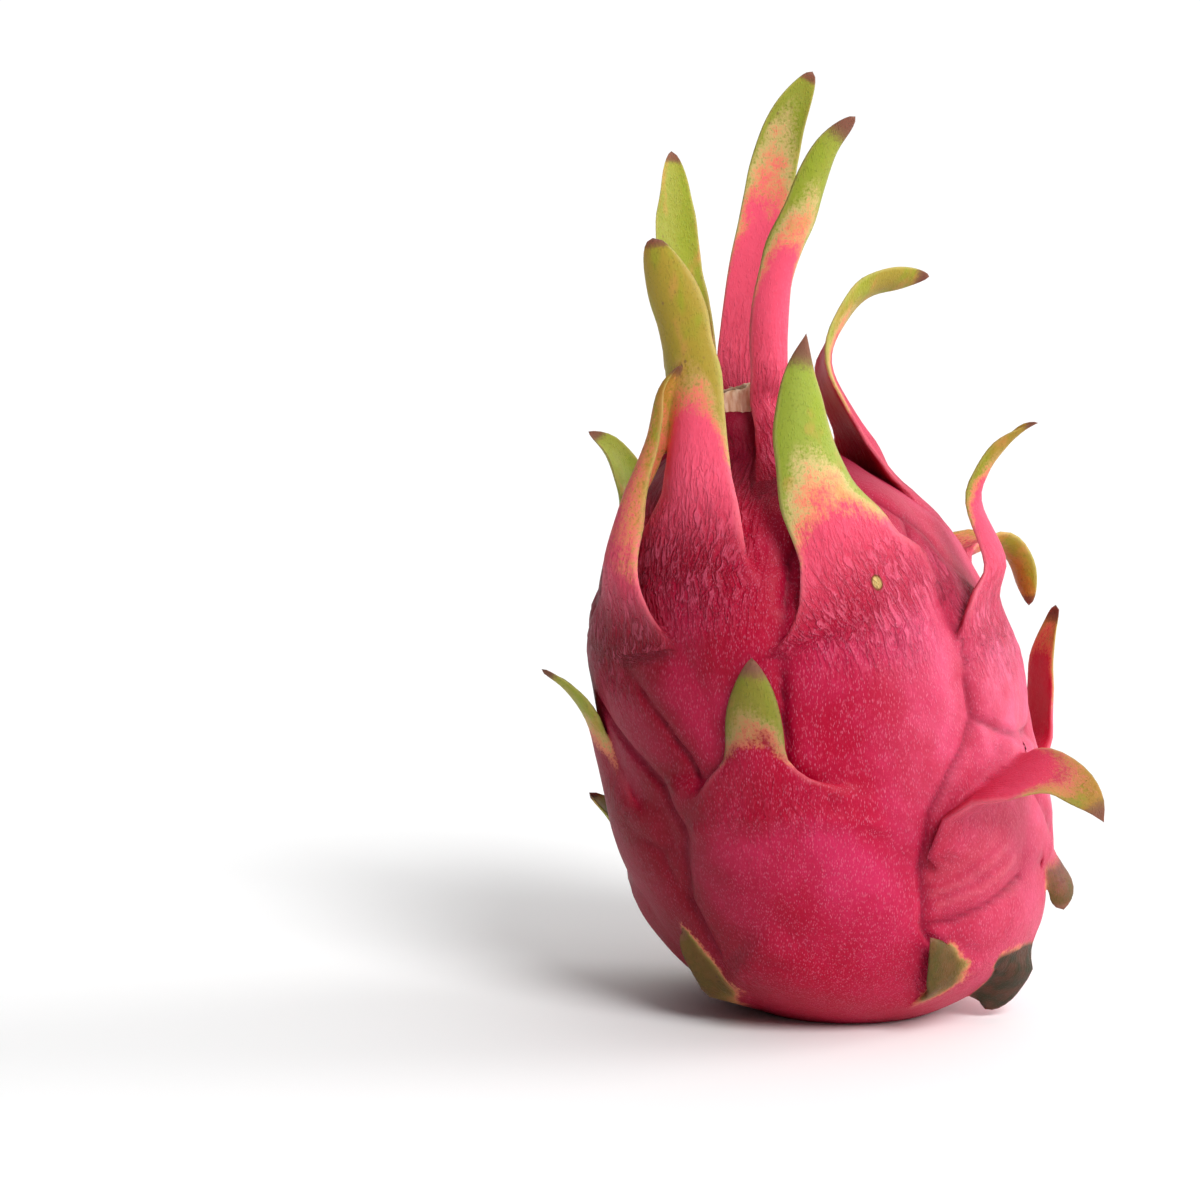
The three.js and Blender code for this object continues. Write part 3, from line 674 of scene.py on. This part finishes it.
def grow_scale(body, name, scale, seed):
    rib = frames_of(body, scale)
    obj, around, along = new_sphere("scale_" + name, BLADE_AROUND, rib["rows"])
    row = np.rint(along * rib["rows"]).astype(int)
    rooted, free, run = rib["rooted"][row], rib["free"][row], rib["run"][row]

    # v runs across from margin to margin, off is how far it is off the rib, and face runs from
    # the inner side to the outer.
    angle = 2 * math.pi * around
    even = 2 / math.pi * np.arcsin(np.clip(np.cos(angle), -1, 1))
    v = lerp(np.cos(angle), even, 0.75)
    off = np.abs(v)
    outer = -np.sin(angle)
    fullness = 0.3 + 0.7 * (1 - off**2.2)
    rim = np.sqrt(np.clip(1 - off**14, 0, 1))
    face = np.sign(outer) * fullness * np.where(np.abs(outer) < 1e-6, 0, np.maximum(rim, 0.3))

    # Its width, thickness, cup and folds, across its rib.
    foot, spread, lifted = (np.where(v < 0, *scale[key]) for key in ("foot", "spread", "lift"))
    blade = scale["wide"] * (1 - free ** scale["tip"][0]) ** scale["tip"][1]
    width = np.sqrt(rooted) * (blade + foot * np.maximum(1 - free / spread, 0) ** FOOT_POWER)
    side = np.sign(v) * 50
    width *= 1 + 0.05 * value_noise(run / 7, side, seed) * smoothstep(free, 0, 0.2)
    thickness = rooted * (1 - free**10) * lerp(scale["thick"], TIP_THICKNESS, np.sqrt(free))
    let_go = smoothstep(free, 0, GRIP)
    point, across, normal = rib["point"][row], rib["across"][row], rib["normal"][row]
    body_bend = width / np.maximum(body.radius(point[:, 2]), SMALLEST_NECK)
    bend = lerp(body_bend, math.radians(scale["cup"]), let_go) + FLATTEST_BEND
    arc = width / bend
    p = point + across * (arc * np.sin(v * bend))[:, None]
    lift = face * thickness / 2 - arc * (1 - np.cos(v * bend))
    lift = lift + 0.5 * off**3 * value_noise(run / 6, side, seed + 1) * let_go
    fold = (1 - smoothstep(free, 0.05, 0.5)) * (1 - off**6) * wrinkling(scale)
    pleats = body.pleats(v * width, run)
    lift = lift + np.where(face > 0, fold * pleats, 0.5 * fold * pleats) * let_go
    p = p + normal * lift[:, None]

    # Near the axil it lies on the skin, and its root lies under it.
    x, y, z = p.T
    x = x - body.axis(z)
    turn = np.arctan2(x, -y)
    skin = body.relief(turn, z)
    on = body.on_scale(scale, turn, z)
    plain = body.radius(z)
    crest = plain + body.crest(on[0]) + skin["fade"] * body.unevenness(turn, z)
    crest = crest + np.exp(-((on[0] / 17) ** 4)) * body.pleats(*on) * skin["fade"]
    deep = np.where(face < 0, -scale["thick"], FOOT_RISE - ROOT_SINK * (1 - rooted) ** 2)
    held = np.where(rooted < 1, plain + skin["height"], crest)
    held = held + lerp(lerp(-ROOT_MARGIN_SINK, FOOT_RISE, rooted**3), deep, np.abs(face))
    radius = lerp(held, np.hypot(x, y), let_go)
    lifted = lifted * off**3 * smoothstep(free, *LIFT_ON)
    radius = radius + lifted * (1 - smoothstep(free, *LIFT_OFF))
    put_vertices(obj, body.place(turn, radius, z) * MM)

    inner = np.where(face < 0, 1.0, 0.0)
    ripe = free + 0.22 * off**3 * smoothstep(free, 0.1, 0.4) - 0.08 * inner
    ripe = (ripe - scale["pink"]) / (scale["green"] - scale["pink"]) * smoothstep(free, 0, 0.12)
    dry = smoothstep(free, 1 - 1.5 * scale["dry"], 1 - 0.5 * scale["dry"]) if scale["dry"] else 0
    edge = smoothstep(off, 0.86, 0.98) * smoothstep(free, 0.02, 0.2) * (1 - scale["dark"])
    put_marks(obj, dict(
        ripe=np.clip(ripe, 0, 1), dry=dry, edge=edge, inner=inner,
        # Painted shade on the inner side near the foot, in the pocket under the blade.
        deep=0.5 * inner * (1 - smoothstep(free, 0.0, 0.2)), ochre=scale["ochre"],
        dark=scale["dark"] * smoothstep(free, 0, 0.08), fold=fold, across=v * width, along=run,
        blade=scale["pale"] * smoothstep(free, 0.02, 0.3)))
    return obj


# ---- The ring ----


def ring_frame(body, places):
    """From the ring's own upright place to where it sits, tilted, in the crown."""
    tilt = math.radians(RING_TILT)
    x = places[:, 0] * math.cos(tilt) + places[:, 2] * math.sin(tilt)
    z = places[:, 2] * math.cos(tilt) - places[:, 0] * math.sin(tilt)
    seat = body.height - RING_SINK
    return np.stack([x + body.axis(seat), places[:, 1], z + seat], -1) * MM


def grow_rim(body, look):
    """The torn fibrous rim and its floor, in one round of a profile."""
    radius, height = look.radius / MM, look.height / MM
    profile = [(share * radius + inset, high * height) for share, inset, high in RING_PROFILE]
    obj, around, along = new_sphere("dry_flower", RING_AROUND, RING_ROWS)
    reach = run_along(profile)
    at = along * reach[-1]
    r, z = (np.interp(at, reach, column) for column in np.transpose(profile))

    def wave(cells, y, seed):
        return value_noise(around * cells, y, seed, cells)

    top = bell(at - reach[RIM_POINT], 2.2)
    wall = smoothstep(r, radius - 3.5, radius - 1.5) * smoothstep(z, 0.3, 1.5)
    r = r + 0.2 * (wave(150, z / 5, 41) + 0.6 * wave(60, z / 3, 42)) * wall
    torn = 0.45 * wave(22, z * 0, 43) + 0.35 * wave(75, z * 0, 44)
    z = z + top * (torn - 0.5)
    crust = wave(40, r / 1.2, 45) * (1 - wall) * smoothstep(r, 0.3, 2)
    z = z + 0.3 * crust * (along > 0.5)
    turn = 2 * math.pi * around
    put_vertices(obj, ring_frame(body, np.stack([r * np.cos(turn), r * np.sin(turn), z], -1)))
    put_mark(obj, "inside", smoothstep(at, reach[RIM_POINT] + 0.5, reach[RIM_POINT + 1] + 1.5))
    return obj


def grow_fibre(body, look, chance):
    """One dry strand that stands on the floor of the ring and curls over."""
    radius, height = look.radius / MM, look.height / MM
    obj, around, along = new_sphere("strand", 6, 10)
    turn = chance.uniform(0, 2 * math.pi)
    start = chance.uniform(0.15, 0.72) * radius
    length = chance.uniform(2.5, 6)
    lean, curl = chance.uniform(-0.6, 0.9), chance.uniform(-1.5, 1.5)
    thick = chance.uniform(0.25, 0.5) * np.sin(math.pi * np.clip(along * 0.9 + 0.08, 0, 1)) ** 0.6
    out = start + length * lean * along**1.6
    sideways = length * 0.3 * curl * along**2
    z = 0.42 * height + length * along - 0.35 * length * along**3
    ring = 2 * math.pi * around
    out, sideways = out + thick * np.cos(ring), sideways + thick * np.sin(ring)
    x = out * math.cos(turn) - sideways * math.sin(turn)
    y = out * math.sin(turn) + sideways * math.cos(turn)
    put_vertices(obj, ring_frame(body, np.stack([x, y, z], -1)))
    put_mark(obj, "inside", chance.uniform(0.1, 0.9))
    return obj


# ---- Joining ----


def unite(body_obj, scales):
    """One skin out of the body and its scales."""
    group = bpy.data.collections.new("scales")
    bpy.context.scene.collection.children.link(group)
    for obj in scales:
        for home in obj.users_collection:
            home.objects.unlink(obj)
        group.objects.link(obj)
    pick(body_obj)
    union = body_obj.modifiers.new("union", "BOOLEAN")
    union.operation = "UNION"
    union.operand_type = "COLLECTION"
    union.collection = group
    union.solver = "MANIFOLD"
    bpy.ops.object.modifier_apply(modifier=union.name)
    for obj in scales:
        bpy.data.objects.remove(obj)
    bpy.data.collections.remove(group)


def read_mark(obj, name):
    values = np.empty(len(obj.data.vertices), np.float32)
    obj.data.attributes[name].data.foreach_get("value", values)
    return values.astype(float)


def averager(obj):
    """A function that gives every vertex the average of its neighbours' values."""
    edges = np.empty(len(obj.data.edges) * 2, np.int32)
    obj.data.edges.foreach_get("vertices", edges)
    a, b = edges.reshape(-1, 2).T
    start, end = np.concatenate([a, b]), np.concatenate([b, a])
    count = np.maximum(np.bincount(start, minlength=len(obj.data.vertices)), 1)

    def average(values):
        if values.ndim == 1:
            return np.bincount(start, values[end], len(count)) / count
        return np.stack([average(values[:, i]) for i in range(3)], -1)

    return average


def heal_seams(obj):
    """Rounds off the seams between body and scales, and carries the marks across them."""
    average = averager(obj)
    seam = read_mark(obj, "kept") < 0.5
    places = vertices_of(obj)
    tree = kdtree.KDTree(int(seam.sum()))
    for i, place in enumerate(places[seam]):
        tree.insert(place, i)
    tree.balance()
    away = np.array([tree.find(place)[2] for place in places])
    reach = SEAM_REACH * MM
    near = 1 - smoothstep(away, 0.25 * reach, reach)
    for _ in range(SEAM_PASSES):
        places += 0.5 * near[:, None] * (average(places) - places)
    put_vertices(obj, places)
    for name in MARKS:
        known = (~seam).astype(float)
        values = read_mark(obj, name) * known
        for _ in range(MARK_REACH):
            weight = average(known)
            spread = average(values) / np.maximum(weight, 1e-6)
            values = np.where(seam & (weight > 0), spread, values)
            known = np.where(seam, weight > 0, 1.0).astype(float)
        if name not in ("across", "along"):
            for _ in range(MARK_PASSES):
                values = values + 0.5 * near * (average(values) - values)
        obj.data.attributes[name].data.foreach_set("value", values.astype(np.float32))
    obj.data.attributes.remove(obj.data.attributes["kept"])


def set_flat_spot(obj):
    """Flattens what lies under the surface that the fruit stands on, and sinks the stem's scar."""
    places = vertices_of(obj)
    places[:, 2] = np.maximum(places[:, 2], 0)
    scar = np.hypot(places[:, 0] - SCAR[0], places[:, 1] - SCAR[1]) / MM
    low = places[:, 2] < 0.5 * MM
    dent = 1.2 * (1 - smoothstep(scar, 4, 7)) + 0.4 * np.exp(-((scar - 9) ** 2))
    places[:, 2] += np.where(low, dent * MM, 0)
    put_vertices(obj, places)


def raise_wart(obj, body):
    """A small bump on the skin. Returns its middle in metres."""
    turn, z = math.radians(WART[0]), WART[1] * body.height
    start = body.place(turn, 2 * body.width, z) * MM
    inwards = (-math.sin(turn), math.cos(turn), 0)
    bpy.context.view_layer.update()
    hit, middle, _, _ = obj.ray_cast(start, inwards)
    if not hit:
        raise RuntimeError("no skin to grow the wart on")
    places = vertices_of(obj)
    away = np.linalg.norm(places - np.array(middle), axis=1) / MM
    rise = WART_RISE * bell(away, WART_WIDTH)
    put_vertices(obj, places - rise[:, None] * np.array(inwards) * MM)
    return middle


def finish(obj, material):
    """Smooth faces in one material."""
    pick(obj)
    bpy.ops.object.shade_smooth()
    obj.data.materials.clear()
    obj.data.materials.append(material)


# ---- Materials ----


class Shader:
    """A material or a world under construction."""

    def __init__(self, owner):
        owner.use_nodes = True
        self.owner, self.tree = owner, owner.node_tree

    def fill(self, node, inputs):
        """Links a node's inputs to other nodes, or gives them values. Returns its outputs."""
        for key, value in inputs.items():
            if isinstance(value, bpy.types.NodeSocket):
                self.tree.links.new(value, node.inputs[key])
            else:
                node.inputs[key].default_value = value
        return node.outputs

    def add(self, kind, inputs, **settings):
        """A new node's outputs."""
        node = self.tree.nodes.new("ShaderNode" + kind)
        for key, value in settings.items():
            setattr(node, key, value)
        return self.fill(node, inputs)

    def surface(self, inputs):
        """Fills in a material's surface and returns the material."""
        self.fill(self.tree.nodes["Principled BSDF"], inputs)
        return self.owner

    def mark(self, name):
        return self.add("Attribute", {}, attribute_name=name)["Fac"]

    def math(self, operation, a, b, clamp=False):
        return self.add("Math", {0: a, 1: b}, operation=operation, use_clamp=clamp)[0]

    def times(self, a, b, clamp=False):
        return self.math("MULTIPLY", a, b, clamp)

    def plus(self, a, b, clamp=False):
        return self.math("ADD", a, b, clamp)

    def swing(self, value, width):
        """Lets noise swing so wide about zero."""
        return self.times(self.math("SUBTRACT", value, 0.5), width)

    def remap(self, value, low, high, to_low=0.0, to_high=1.0):
        ends = {"From Min": low, "From Max": high, "To Min": to_low, "To Max": to_high}
        return self.add("MapRange", {"Value": value, **ends}, interpolation_type="SMOOTHSTEP")["Result"]

    def mix(self, share, a, b):
        a, b = (c if isinstance(c, bpy.types.NodeSocket) else (*c, 1) for c in (a, b))
        return self.add("Mix", {"Factor": share, 6: a, 7: b}, data_type="RGBA")[2]

    def coordinates(self, stretch=(1, 1, 1)):
        place = self.add("TexCoord", {})["Object"]
        return self.add("Mapping", {"Scale": stretch, "Vector": place})["Vector"]

    def noise(self, size, detail, stretch=(1, 1, 1)):
        place = self.coordinates(stretch)
        inputs = {"Scale": 1 / size, "Detail": detail, "Roughness": 0.55, "Vector": place}
        return self.add("TexNoise", inputs)["Fac"]

    def spots(self, size, stretch=(1, 1, 1)):
        inputs = {"Scale": 1 / size, "Vector": self.coordinates(stretch)}
        return self.add("TexVoronoi", inputs)["Distance"]

    def distance_from(self, middle, stretch=(1, 1, 1)):
        inputs = {0: self.coordinates(stretch), 1: [a * b for a, b in zip(middle, stretch)]}
        return self.add("VectorMath", inputs, operation="DISTANCE")["Value"]

    def sunny_side(self):
        """How far a place lies to the right of the leaning body's middle, in metres. The skin is painted
        with shade to the left of it and with sheen to the right.
        """
        place = self.add("SeparateXYZ", {"Vector": self.add("TexCoord", {})["Object"]})
        return self.plus(place["X"], self.times(place["Z"], 0.15))

    def streaks(self, across, along):
        """Noise drawn out along the scales."""
        x, y = self.math("DIVIDE", across, STREAK[0]), self.math("DIVIDE", along, STREAK[1])
        place = self.add("CombineXYZ", {"X": x, "Y": y})["Vector"]
        inputs = {"Scale": 0.5, "Detail": 4, "Distortion": 1.2, "Vector": place}
        return self.add("TexNoise", inputs)["Fac"]

    def ramp(self, value, stops):
        node = self.tree.nodes.new("ShaderNodeValToRGB")
        elements = node.color_ramp.elements
        while len(elements) < len(stops):
            elements.new(0.5)
        for element, (position, colour) in zip(elements, stops):
            element.position = position
            element.color = (*colour, 1)
        return self.fill(node, {"Fac": value})["Color"]

    def bump(self, height, depth, strength, **below):
        inputs = {"Height": height, "Distance": depth, "Strength": strength, **below}
        return self.add("Bump", inputs)["Normal"]


def skin_material(colours, wart):
    s = Shader(bpy.data.materials.new("dragon_fruit_skin"))
    mark = {name: s.mark(name) for name in MARKS}
    ripeness = mark["ripe"]

    # Pink skin: crimson with painted shade towards the fruit's left, rose in the middle of each cushion,
    # painted sheen on the fruit's right, and tiny pale dashes that dim towards the left as painted shade.
    mottle = s.noise(0.006, 4)
    grain = s.noise(0.0006, 2)
    # Rose in the middle of each cushion; less of it low down is painted shade.
    rosy = s.times(s.remap(s.noise(0.026, 4), 0.35, 0.7), s.plus(0.25, mark["bloom_and_shade"]), clamp=True)
    rosy = s.plus(rosy, s.times(s.remap(mottle, 0.45, 0.75), 0.25), clamp=True)
    sunny = s.sunny_side()
    # Painted shade: the crimson darkens towards the fruit's left.
    crimson = s.mix(s.remap(sunny, -0.03, 0.0), PAINTED_SHADE_CRIMSON, colours.crimson)
    # Less rose towards the left, as painted shade.
    pink = s.mix(s.times(rosy, s.remap(sunny, -0.035, 0.01, 0.3, 1.0)), crimson, colours.rose)
    # Painted sheen: paler, dusty pink on the fruit's right, where the side light falls.
    painted_sheen = s.times(s.remap(sunny, 0.01, 0.045), s.remap(mottle, 0.25, 0.7, 0.3, 0.55))
    painted_sheen = s.times(painted_sheen, s.remap(mark["bloom_and_shade"], 0.0, 0.8, 0.55, 1.0))
    pink = s.mix(painted_sheen, pink, colours.painted_sheen)
    wide_dashes = s.spots(0.00054, (1.35, 1.35, 0.45))
    flecks = s.times(s.remap(wide_dashes, 0.36, 0.14), s.remap(s.noise(0.003, 2), 0.15, 0.45))
    # Painted shade: the flecks dim towards the left.
    flecks = s.times(flecks, s.remap(sunny, -0.035, 0.005, 0.18, 0.38))
    pink = s.mix(flecks, pink, FLECK)
    fine_dashes = s.remap(s.noise(0.00042, 2, (1.2, 1.2, 0.4)), 0.56, 0.7)
    # Painted shade: the dashes dim towards the left.
    fine_dashes = s.times(fine_dashes, s.remap(sunny, -0.035, 0.005, 0.1, 0.3))
    pink = s.mix(fine_dashes, pink, FINE_DASH)
    pink = s.mix(s.times(mark["blade"], 0.75), pink, BLEACHED)

    # Streaks that run along a scale, with painted highlights on the fold crests and painted shade in the
    # fold valleys.
    streak = s.streaks(mark["across"], mark["along"])
    painted_crest_highlight = s.times(mark["fold"], s.remap(streak, 0.5, 0.68))
    pink = s.mix(s.times(painted_crest_highlight, 0.26), pink, PAINTED_CREST_HIGHLIGHT)
    painted_fold_shade = s.times(mark["fold"], s.remap(streak, 0.46, 0.3))
    pink = s.mix(s.times(painted_fold_shade, 0.5), pink, PAINTED_FOLD_SHADE)
    deep_inside = s.times(mark["inner"], s.math("SUBTRACT", 0.85, mark["blade"]), clamp=True)
    pink = s.mix(deep_inside, pink, INNER_SIDE)

    # From pink to green, in fine speckles.
    wander = s.plus(s.swing(s.noise(0.005, 4), 0.9), s.swing(grain, 0.7))
    wander = s.plus(wander, s.swing(streak, 0.35))
    changing = s.times(s.remap(ripeness, 0.0, 0.1), s.remap(ripeness, 1.0, 0.9))
    ripe = s.plus(ripeness, s.times(wander, changing), clamp=True)
    salmon = colours.salmon
    leafy = s.ramp(ripe, ((0.0, salmon), (0.35, salmon), (0.66, colours.straw), (1.0, colours.green)))
    tanned = s.ramp(ripe, ((0.0, salmon), (0.3, salmon), (0.7, colours.ochre), (1.0, colours.ochre)))
    leaf = s.mix(mark["ochre"], leafy, tanned)
    greener = s.remap(s.noise(0.007, 3, (1, 1, 0.35)), 0.48, 0.62, 0.0, 0.6)
    leaf = s.mix(s.times(greener, s.remap(ripe, 0.5, 0.9)), leaf, FRESH_GREEN)
    leaf = s.mix(s.remap(s.noise(0.006, 3, (1, 1, 0.5)), 0.55, 0.7, 0.0, 0.5), leaf, RUST)
    leaf = s.mix(s.remap(grain, 0.55, 0.75, 0.0, 0.35), leaf, LEAF_GRAIN)
    colour = s.mix(s.remap(ripe, 0.02, 0.45), pink, leaf)

    # Pale margins, freckles, old scales, brown tips, the wart and the stem's scar.
    pale = s.mix(s.remap(ripe, 0.2, 0.6), PINK_MARGIN, PALE_MARGIN)
    colour = s.mix(s.times(mark["edge"], 0.45), colour, pale)
    freckles = s.times(s.remap(s.spots(0.0016), 0.3, 0.12), s.remap(s.noise(0.008, 2), 0.55, 0.7))
    freckles = s.times(freckles, s.remap(ripe, 0.5, 0.9))
    colour = s.mix(s.times(freckles, 0.6), colour, colours.brown)
    old = s.mix(s.remap(s.noise(0.003, 4), 0.35, 0.65), colours.olive, OLD_BROWN)
    aged = s.times(s.remap(mark["dark"], 0.0, 0.4), s.remap(ripeness, 0.0, 0.25))
    colour = s.mix(aged, colour, old)
    dried = s.remap(s.plus(mark["dry"], s.swing(grain, 0.9)), 0.2, 0.8)
    colour = s.mix(s.times(dried, mark["dry"]), colour, colours.brown)
    # Painted shade in the creases, on the neck and under the blades' feet.
    colour = s.mix(s.times(mark["deep"], 0.8), colour, colours.shade)
    from_wart = s.distance_from(wart, (1.2, 1.2, 0.85))
    colour = s.mix(s.remap(from_wart, 0.0018, 0.0015), colour, WART_RIM)
    colour = s.mix(s.remap(from_wart, 0.0015, 0.001), colour, WART_TOP)
    from_scar = s.plus(s.distance_from(SCAR), s.times(s.noise(0.002, 3), 0.003))
    colour = s.mix(s.remap(from_scar, 0.009, 0.0065), colour, colours.brown)

    # Waxy gloss, duller where dry.
    rough = s.plus(0.38, s.times(mottle, 0.2))
    rough = s.plus(rough, s.times(mark["dry"], 0.25), clamp=True)
    normal = s.bump(s.noise(0.0018, 3), 0.0003, 0.7)
    normal = s.bump(s.remap(wide_dashes, 0.4, 0.1), 0.00012, 0.7, Normal=normal)
    crests = s.times(s.remap(streak, 0.36, 0.64), mark["fold"])
    normal = s.bump(crests, 0.0006, 0.9, Normal=normal)
    return s.surface({
        "Base Color": colour, "Roughness": rough, "Normal": normal, "Specular IOR Level": 0.14,
        "Subsurface Weight": 0.1, "Subsurface Radius": (1.0, 0.25, 0.25), "Subsurface Scale": 0.002})


def ring_material(look):
    s = Shader(bpy.data.materials.new("dry_flower_fibre"))
    fibre = s.noise(0.0009, 4, (1, 1, 0.15))
    cream = s.mix(s.remap(fibre, 0.3, 0.65), FIBRE_SHADE, look.cream)
    cream = s.mix(s.remap(s.noise(0.004, 3), 0.55, 0.75, 0.0, 0.6), cream, FIBRE_BLOTCH)
    crust = s.mix(s.remap(s.noise(0.0014, 4), 0.4, 0.65), look.crust, CRUST_GRAIN)
    colour = s.mix(s.mark("inside"), cream, crust)
    normal = s.bump(fibre, 0.0004, 0.8)
    return s.surface({"Base Color": colour, "Roughness": 0.85, "Normal": normal})


# ---- Operators ----


class DRAGONFRUIT_OT_grow_fruit(bpy.types.Operator):
    """Grow the body with its scales as one skin"""

    bl_idname = "dragonfruit.grow_fruit"
    bl_label = "Grow Fruit"

    def execute(self, context):
        shape = context.scene.fruit_shape
        body = Body(shape)
        fruit = grow_body(body, shape)
        scales = [
            grow_scale(body, name, scale, 100 + 7 * number)
            for number, (name, scale) in enumerate(SCALES.items())
        ]
        unite(fruit, scales)
        if len(fruit.data.polygons) < shape.around * shape.along / 2:
            raise RuntimeError("the scales did not join the body")
        heal_seams(fruit)
        set_flat_spot(fruit)
        wart = raise_wart(fruit, body)
        finish(fruit, skin_material(context.scene.fruit_colours, wart))
        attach(fruit, "root")
        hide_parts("fruit")
        return {"FINISHED"}


class DRAGONFRUIT_OT_set_ring(bpy.types.Operator):
    """Set the dry ring of the flower on the crown"""

    bl_idname = "dragonfruit.set_ring"
    bl_label = "Set Flower Ring"

    def execute(self, context):
        look = context.scene.ring_shape
        body = Body(context.scene.fruit_shape)
        chance = np.random.default_rng(46)
        strands = [grow_fibre(body, look, chance) for _ in range(RING_STRANDS)]
        ring = grow_rim(body, look)
        pick(ring)
        for strand in strands:
            strand.select_set(True)
        bpy.ops.object.join()
        finish(ring, ring_material(look))
        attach(ring, "root")
        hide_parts("flower_ring")
        return {"FINISHED"}


class DRAGONFRUIT_OT_set_stage(bpy.types.Operator):
    """Lay the floor and set up the lamps and the camera"""

    bl_idname = "dragonfruit.set_stage"
    bl_label = "Set Stage"

    def execute(self, context):
        look = context.scene.stage_look
        clear_selection()
        bpy.ops.mesh.primitive_plane_add(size=24)
        floor = bpy.context.object
        floor.name = floor.data.name = "floor"
        paper = Shader(bpy.data.materials.new("floor_paper"))
        floor.data.materials.append(
            paper.surface({"Base Color": (*look.floor, 1), "Roughness": 0.9}))

        light_world(context.scene, look)
        add_lamp("key", towards=(0.45, -0.72, 0.7), spread=26, strength=2.4)
        add_lamp("side", towards=(1, 0.3, 0.35), spread=30, strength=1.4)

        camera = bpy.data.cameras.new("camera")
        camera.lens = look.lens
        camera.sensor_width = 36
        obj = bpy.data.objects.new("camera", camera)
        context.scene.collection.objects.link(obj)
        obj.location = CAMERA_PLACE
        obj.rotation_euler = (math.radians(90 - CAMERA_DOWN), 0, math.radians(CAMERA_TURN))
        context.scene.camera = obj
        context.scene.view_settings.view_transform = "Standard"
        return {"FINISHED"}


def light_world(scene, look):
    """Soft white light that comes more from above and the right than from the front and the left.
    The pale backdrop behind the floor is even."""
    scene.world = bpy.data.worlds.new("studio")
    s = Shader(scene.world)
    direction = s.add("TexCoord", {})["Generated"]
    facing = s.add("VectorMath", {0: direction, 1: BRIGHT_SIDE}, operation="DOT_PRODUCT")["Value"]
    strength = s.remap(facing, -0.5, 0.9, 0.02, 1.0)
    white = (1, 1, 1, 1)
    soft = s.fill(s.tree.nodes["Background"], {"Color": white, "Strength": strength})
    backdrop = s.add("Background", {"Color": white, "Strength": look.backdrop})
    seen = s.add("LightPath", {})["Is Camera Ray"]
    light = s.add("MixShader", {"Fac": seen, 1: soft["Background"], 2: backdrop["Background"]})
    s.fill(s.tree.nodes["World Output"], {"Surface": light["Shader"]})


def add_lamp(name, towards, spread, strength):
    """A broad lamp far away in the given direction."""
    light = bpy.data.lights.new(name, "SUN")
    light.angle = math.radians(spread)
    light.energy = strength
    obj = bpy.data.objects.new(name, light)
    flat = math.hypot(towards[0], towards[1])
    obj.rotation_euler = (math.atan2(flat, towards[2]), 0, math.atan2(towards[0], -towards[1]))
    bpy.context.scene.collection.objects.link(obj)


class DRAGONFRUIT_PT_panel(bpy.types.Panel):
    """The fruit's sizes, colours and operators"""

    bl_idname = "DRAGONFRUIT_PT_panel"
    bl_label = "Dragon Fruit"
    bl_space_type = "VIEW_3D"
    bl_region_type = "UI"
    bl_category = "Dragon Fruit"

    def draw(self, context):
        for name, group in GROUPS.items():
            box = self.layout.box()
            box.label(text=group.__doc__)
            settings = getattr(context.scene, name)
            for key in group.__annotations__:
                box.prop(settings, key)
        for step in STEPS:
            self.layout.operator(step.bl_idname)


GROUPS = {
    "fruit_shape": FruitShape,
    "fruit_colours": FruitColours,
    "ring_shape": RingShape,
    "stage_look": StageLook,
}
STEPS = (DRAGONFRUIT_OT_grow_fruit, DRAGONFRUIT_OT_set_ring, DRAGONFRUIT_OT_set_stage)


def register():
    for cls in (*GROUPS.values(), *STEPS, DRAGONFRUIT_PT_panel):
        bpy.utils.register_class(cls)
    for name, group in GROUPS.items():
        setattr(bpy.types.Scene, name, PointerProperty(type=group))


def unregister():
    for name in GROUPS:
        delattr(bpy.types.Scene, name)
    for cls in reversed((*GROUPS.values(), *STEPS, DRAGONFRUIT_PT_panel)):
        bpy.utils.unregister_class(cls)


def main():
    register()
    bpy.ops.dragonfruit.grow_fruit()
    bpy.ops.dragonfruit.set_ring()
    bpy.ops.dragonfruit.set_stage()


if __name__ == "__main__":
    main()
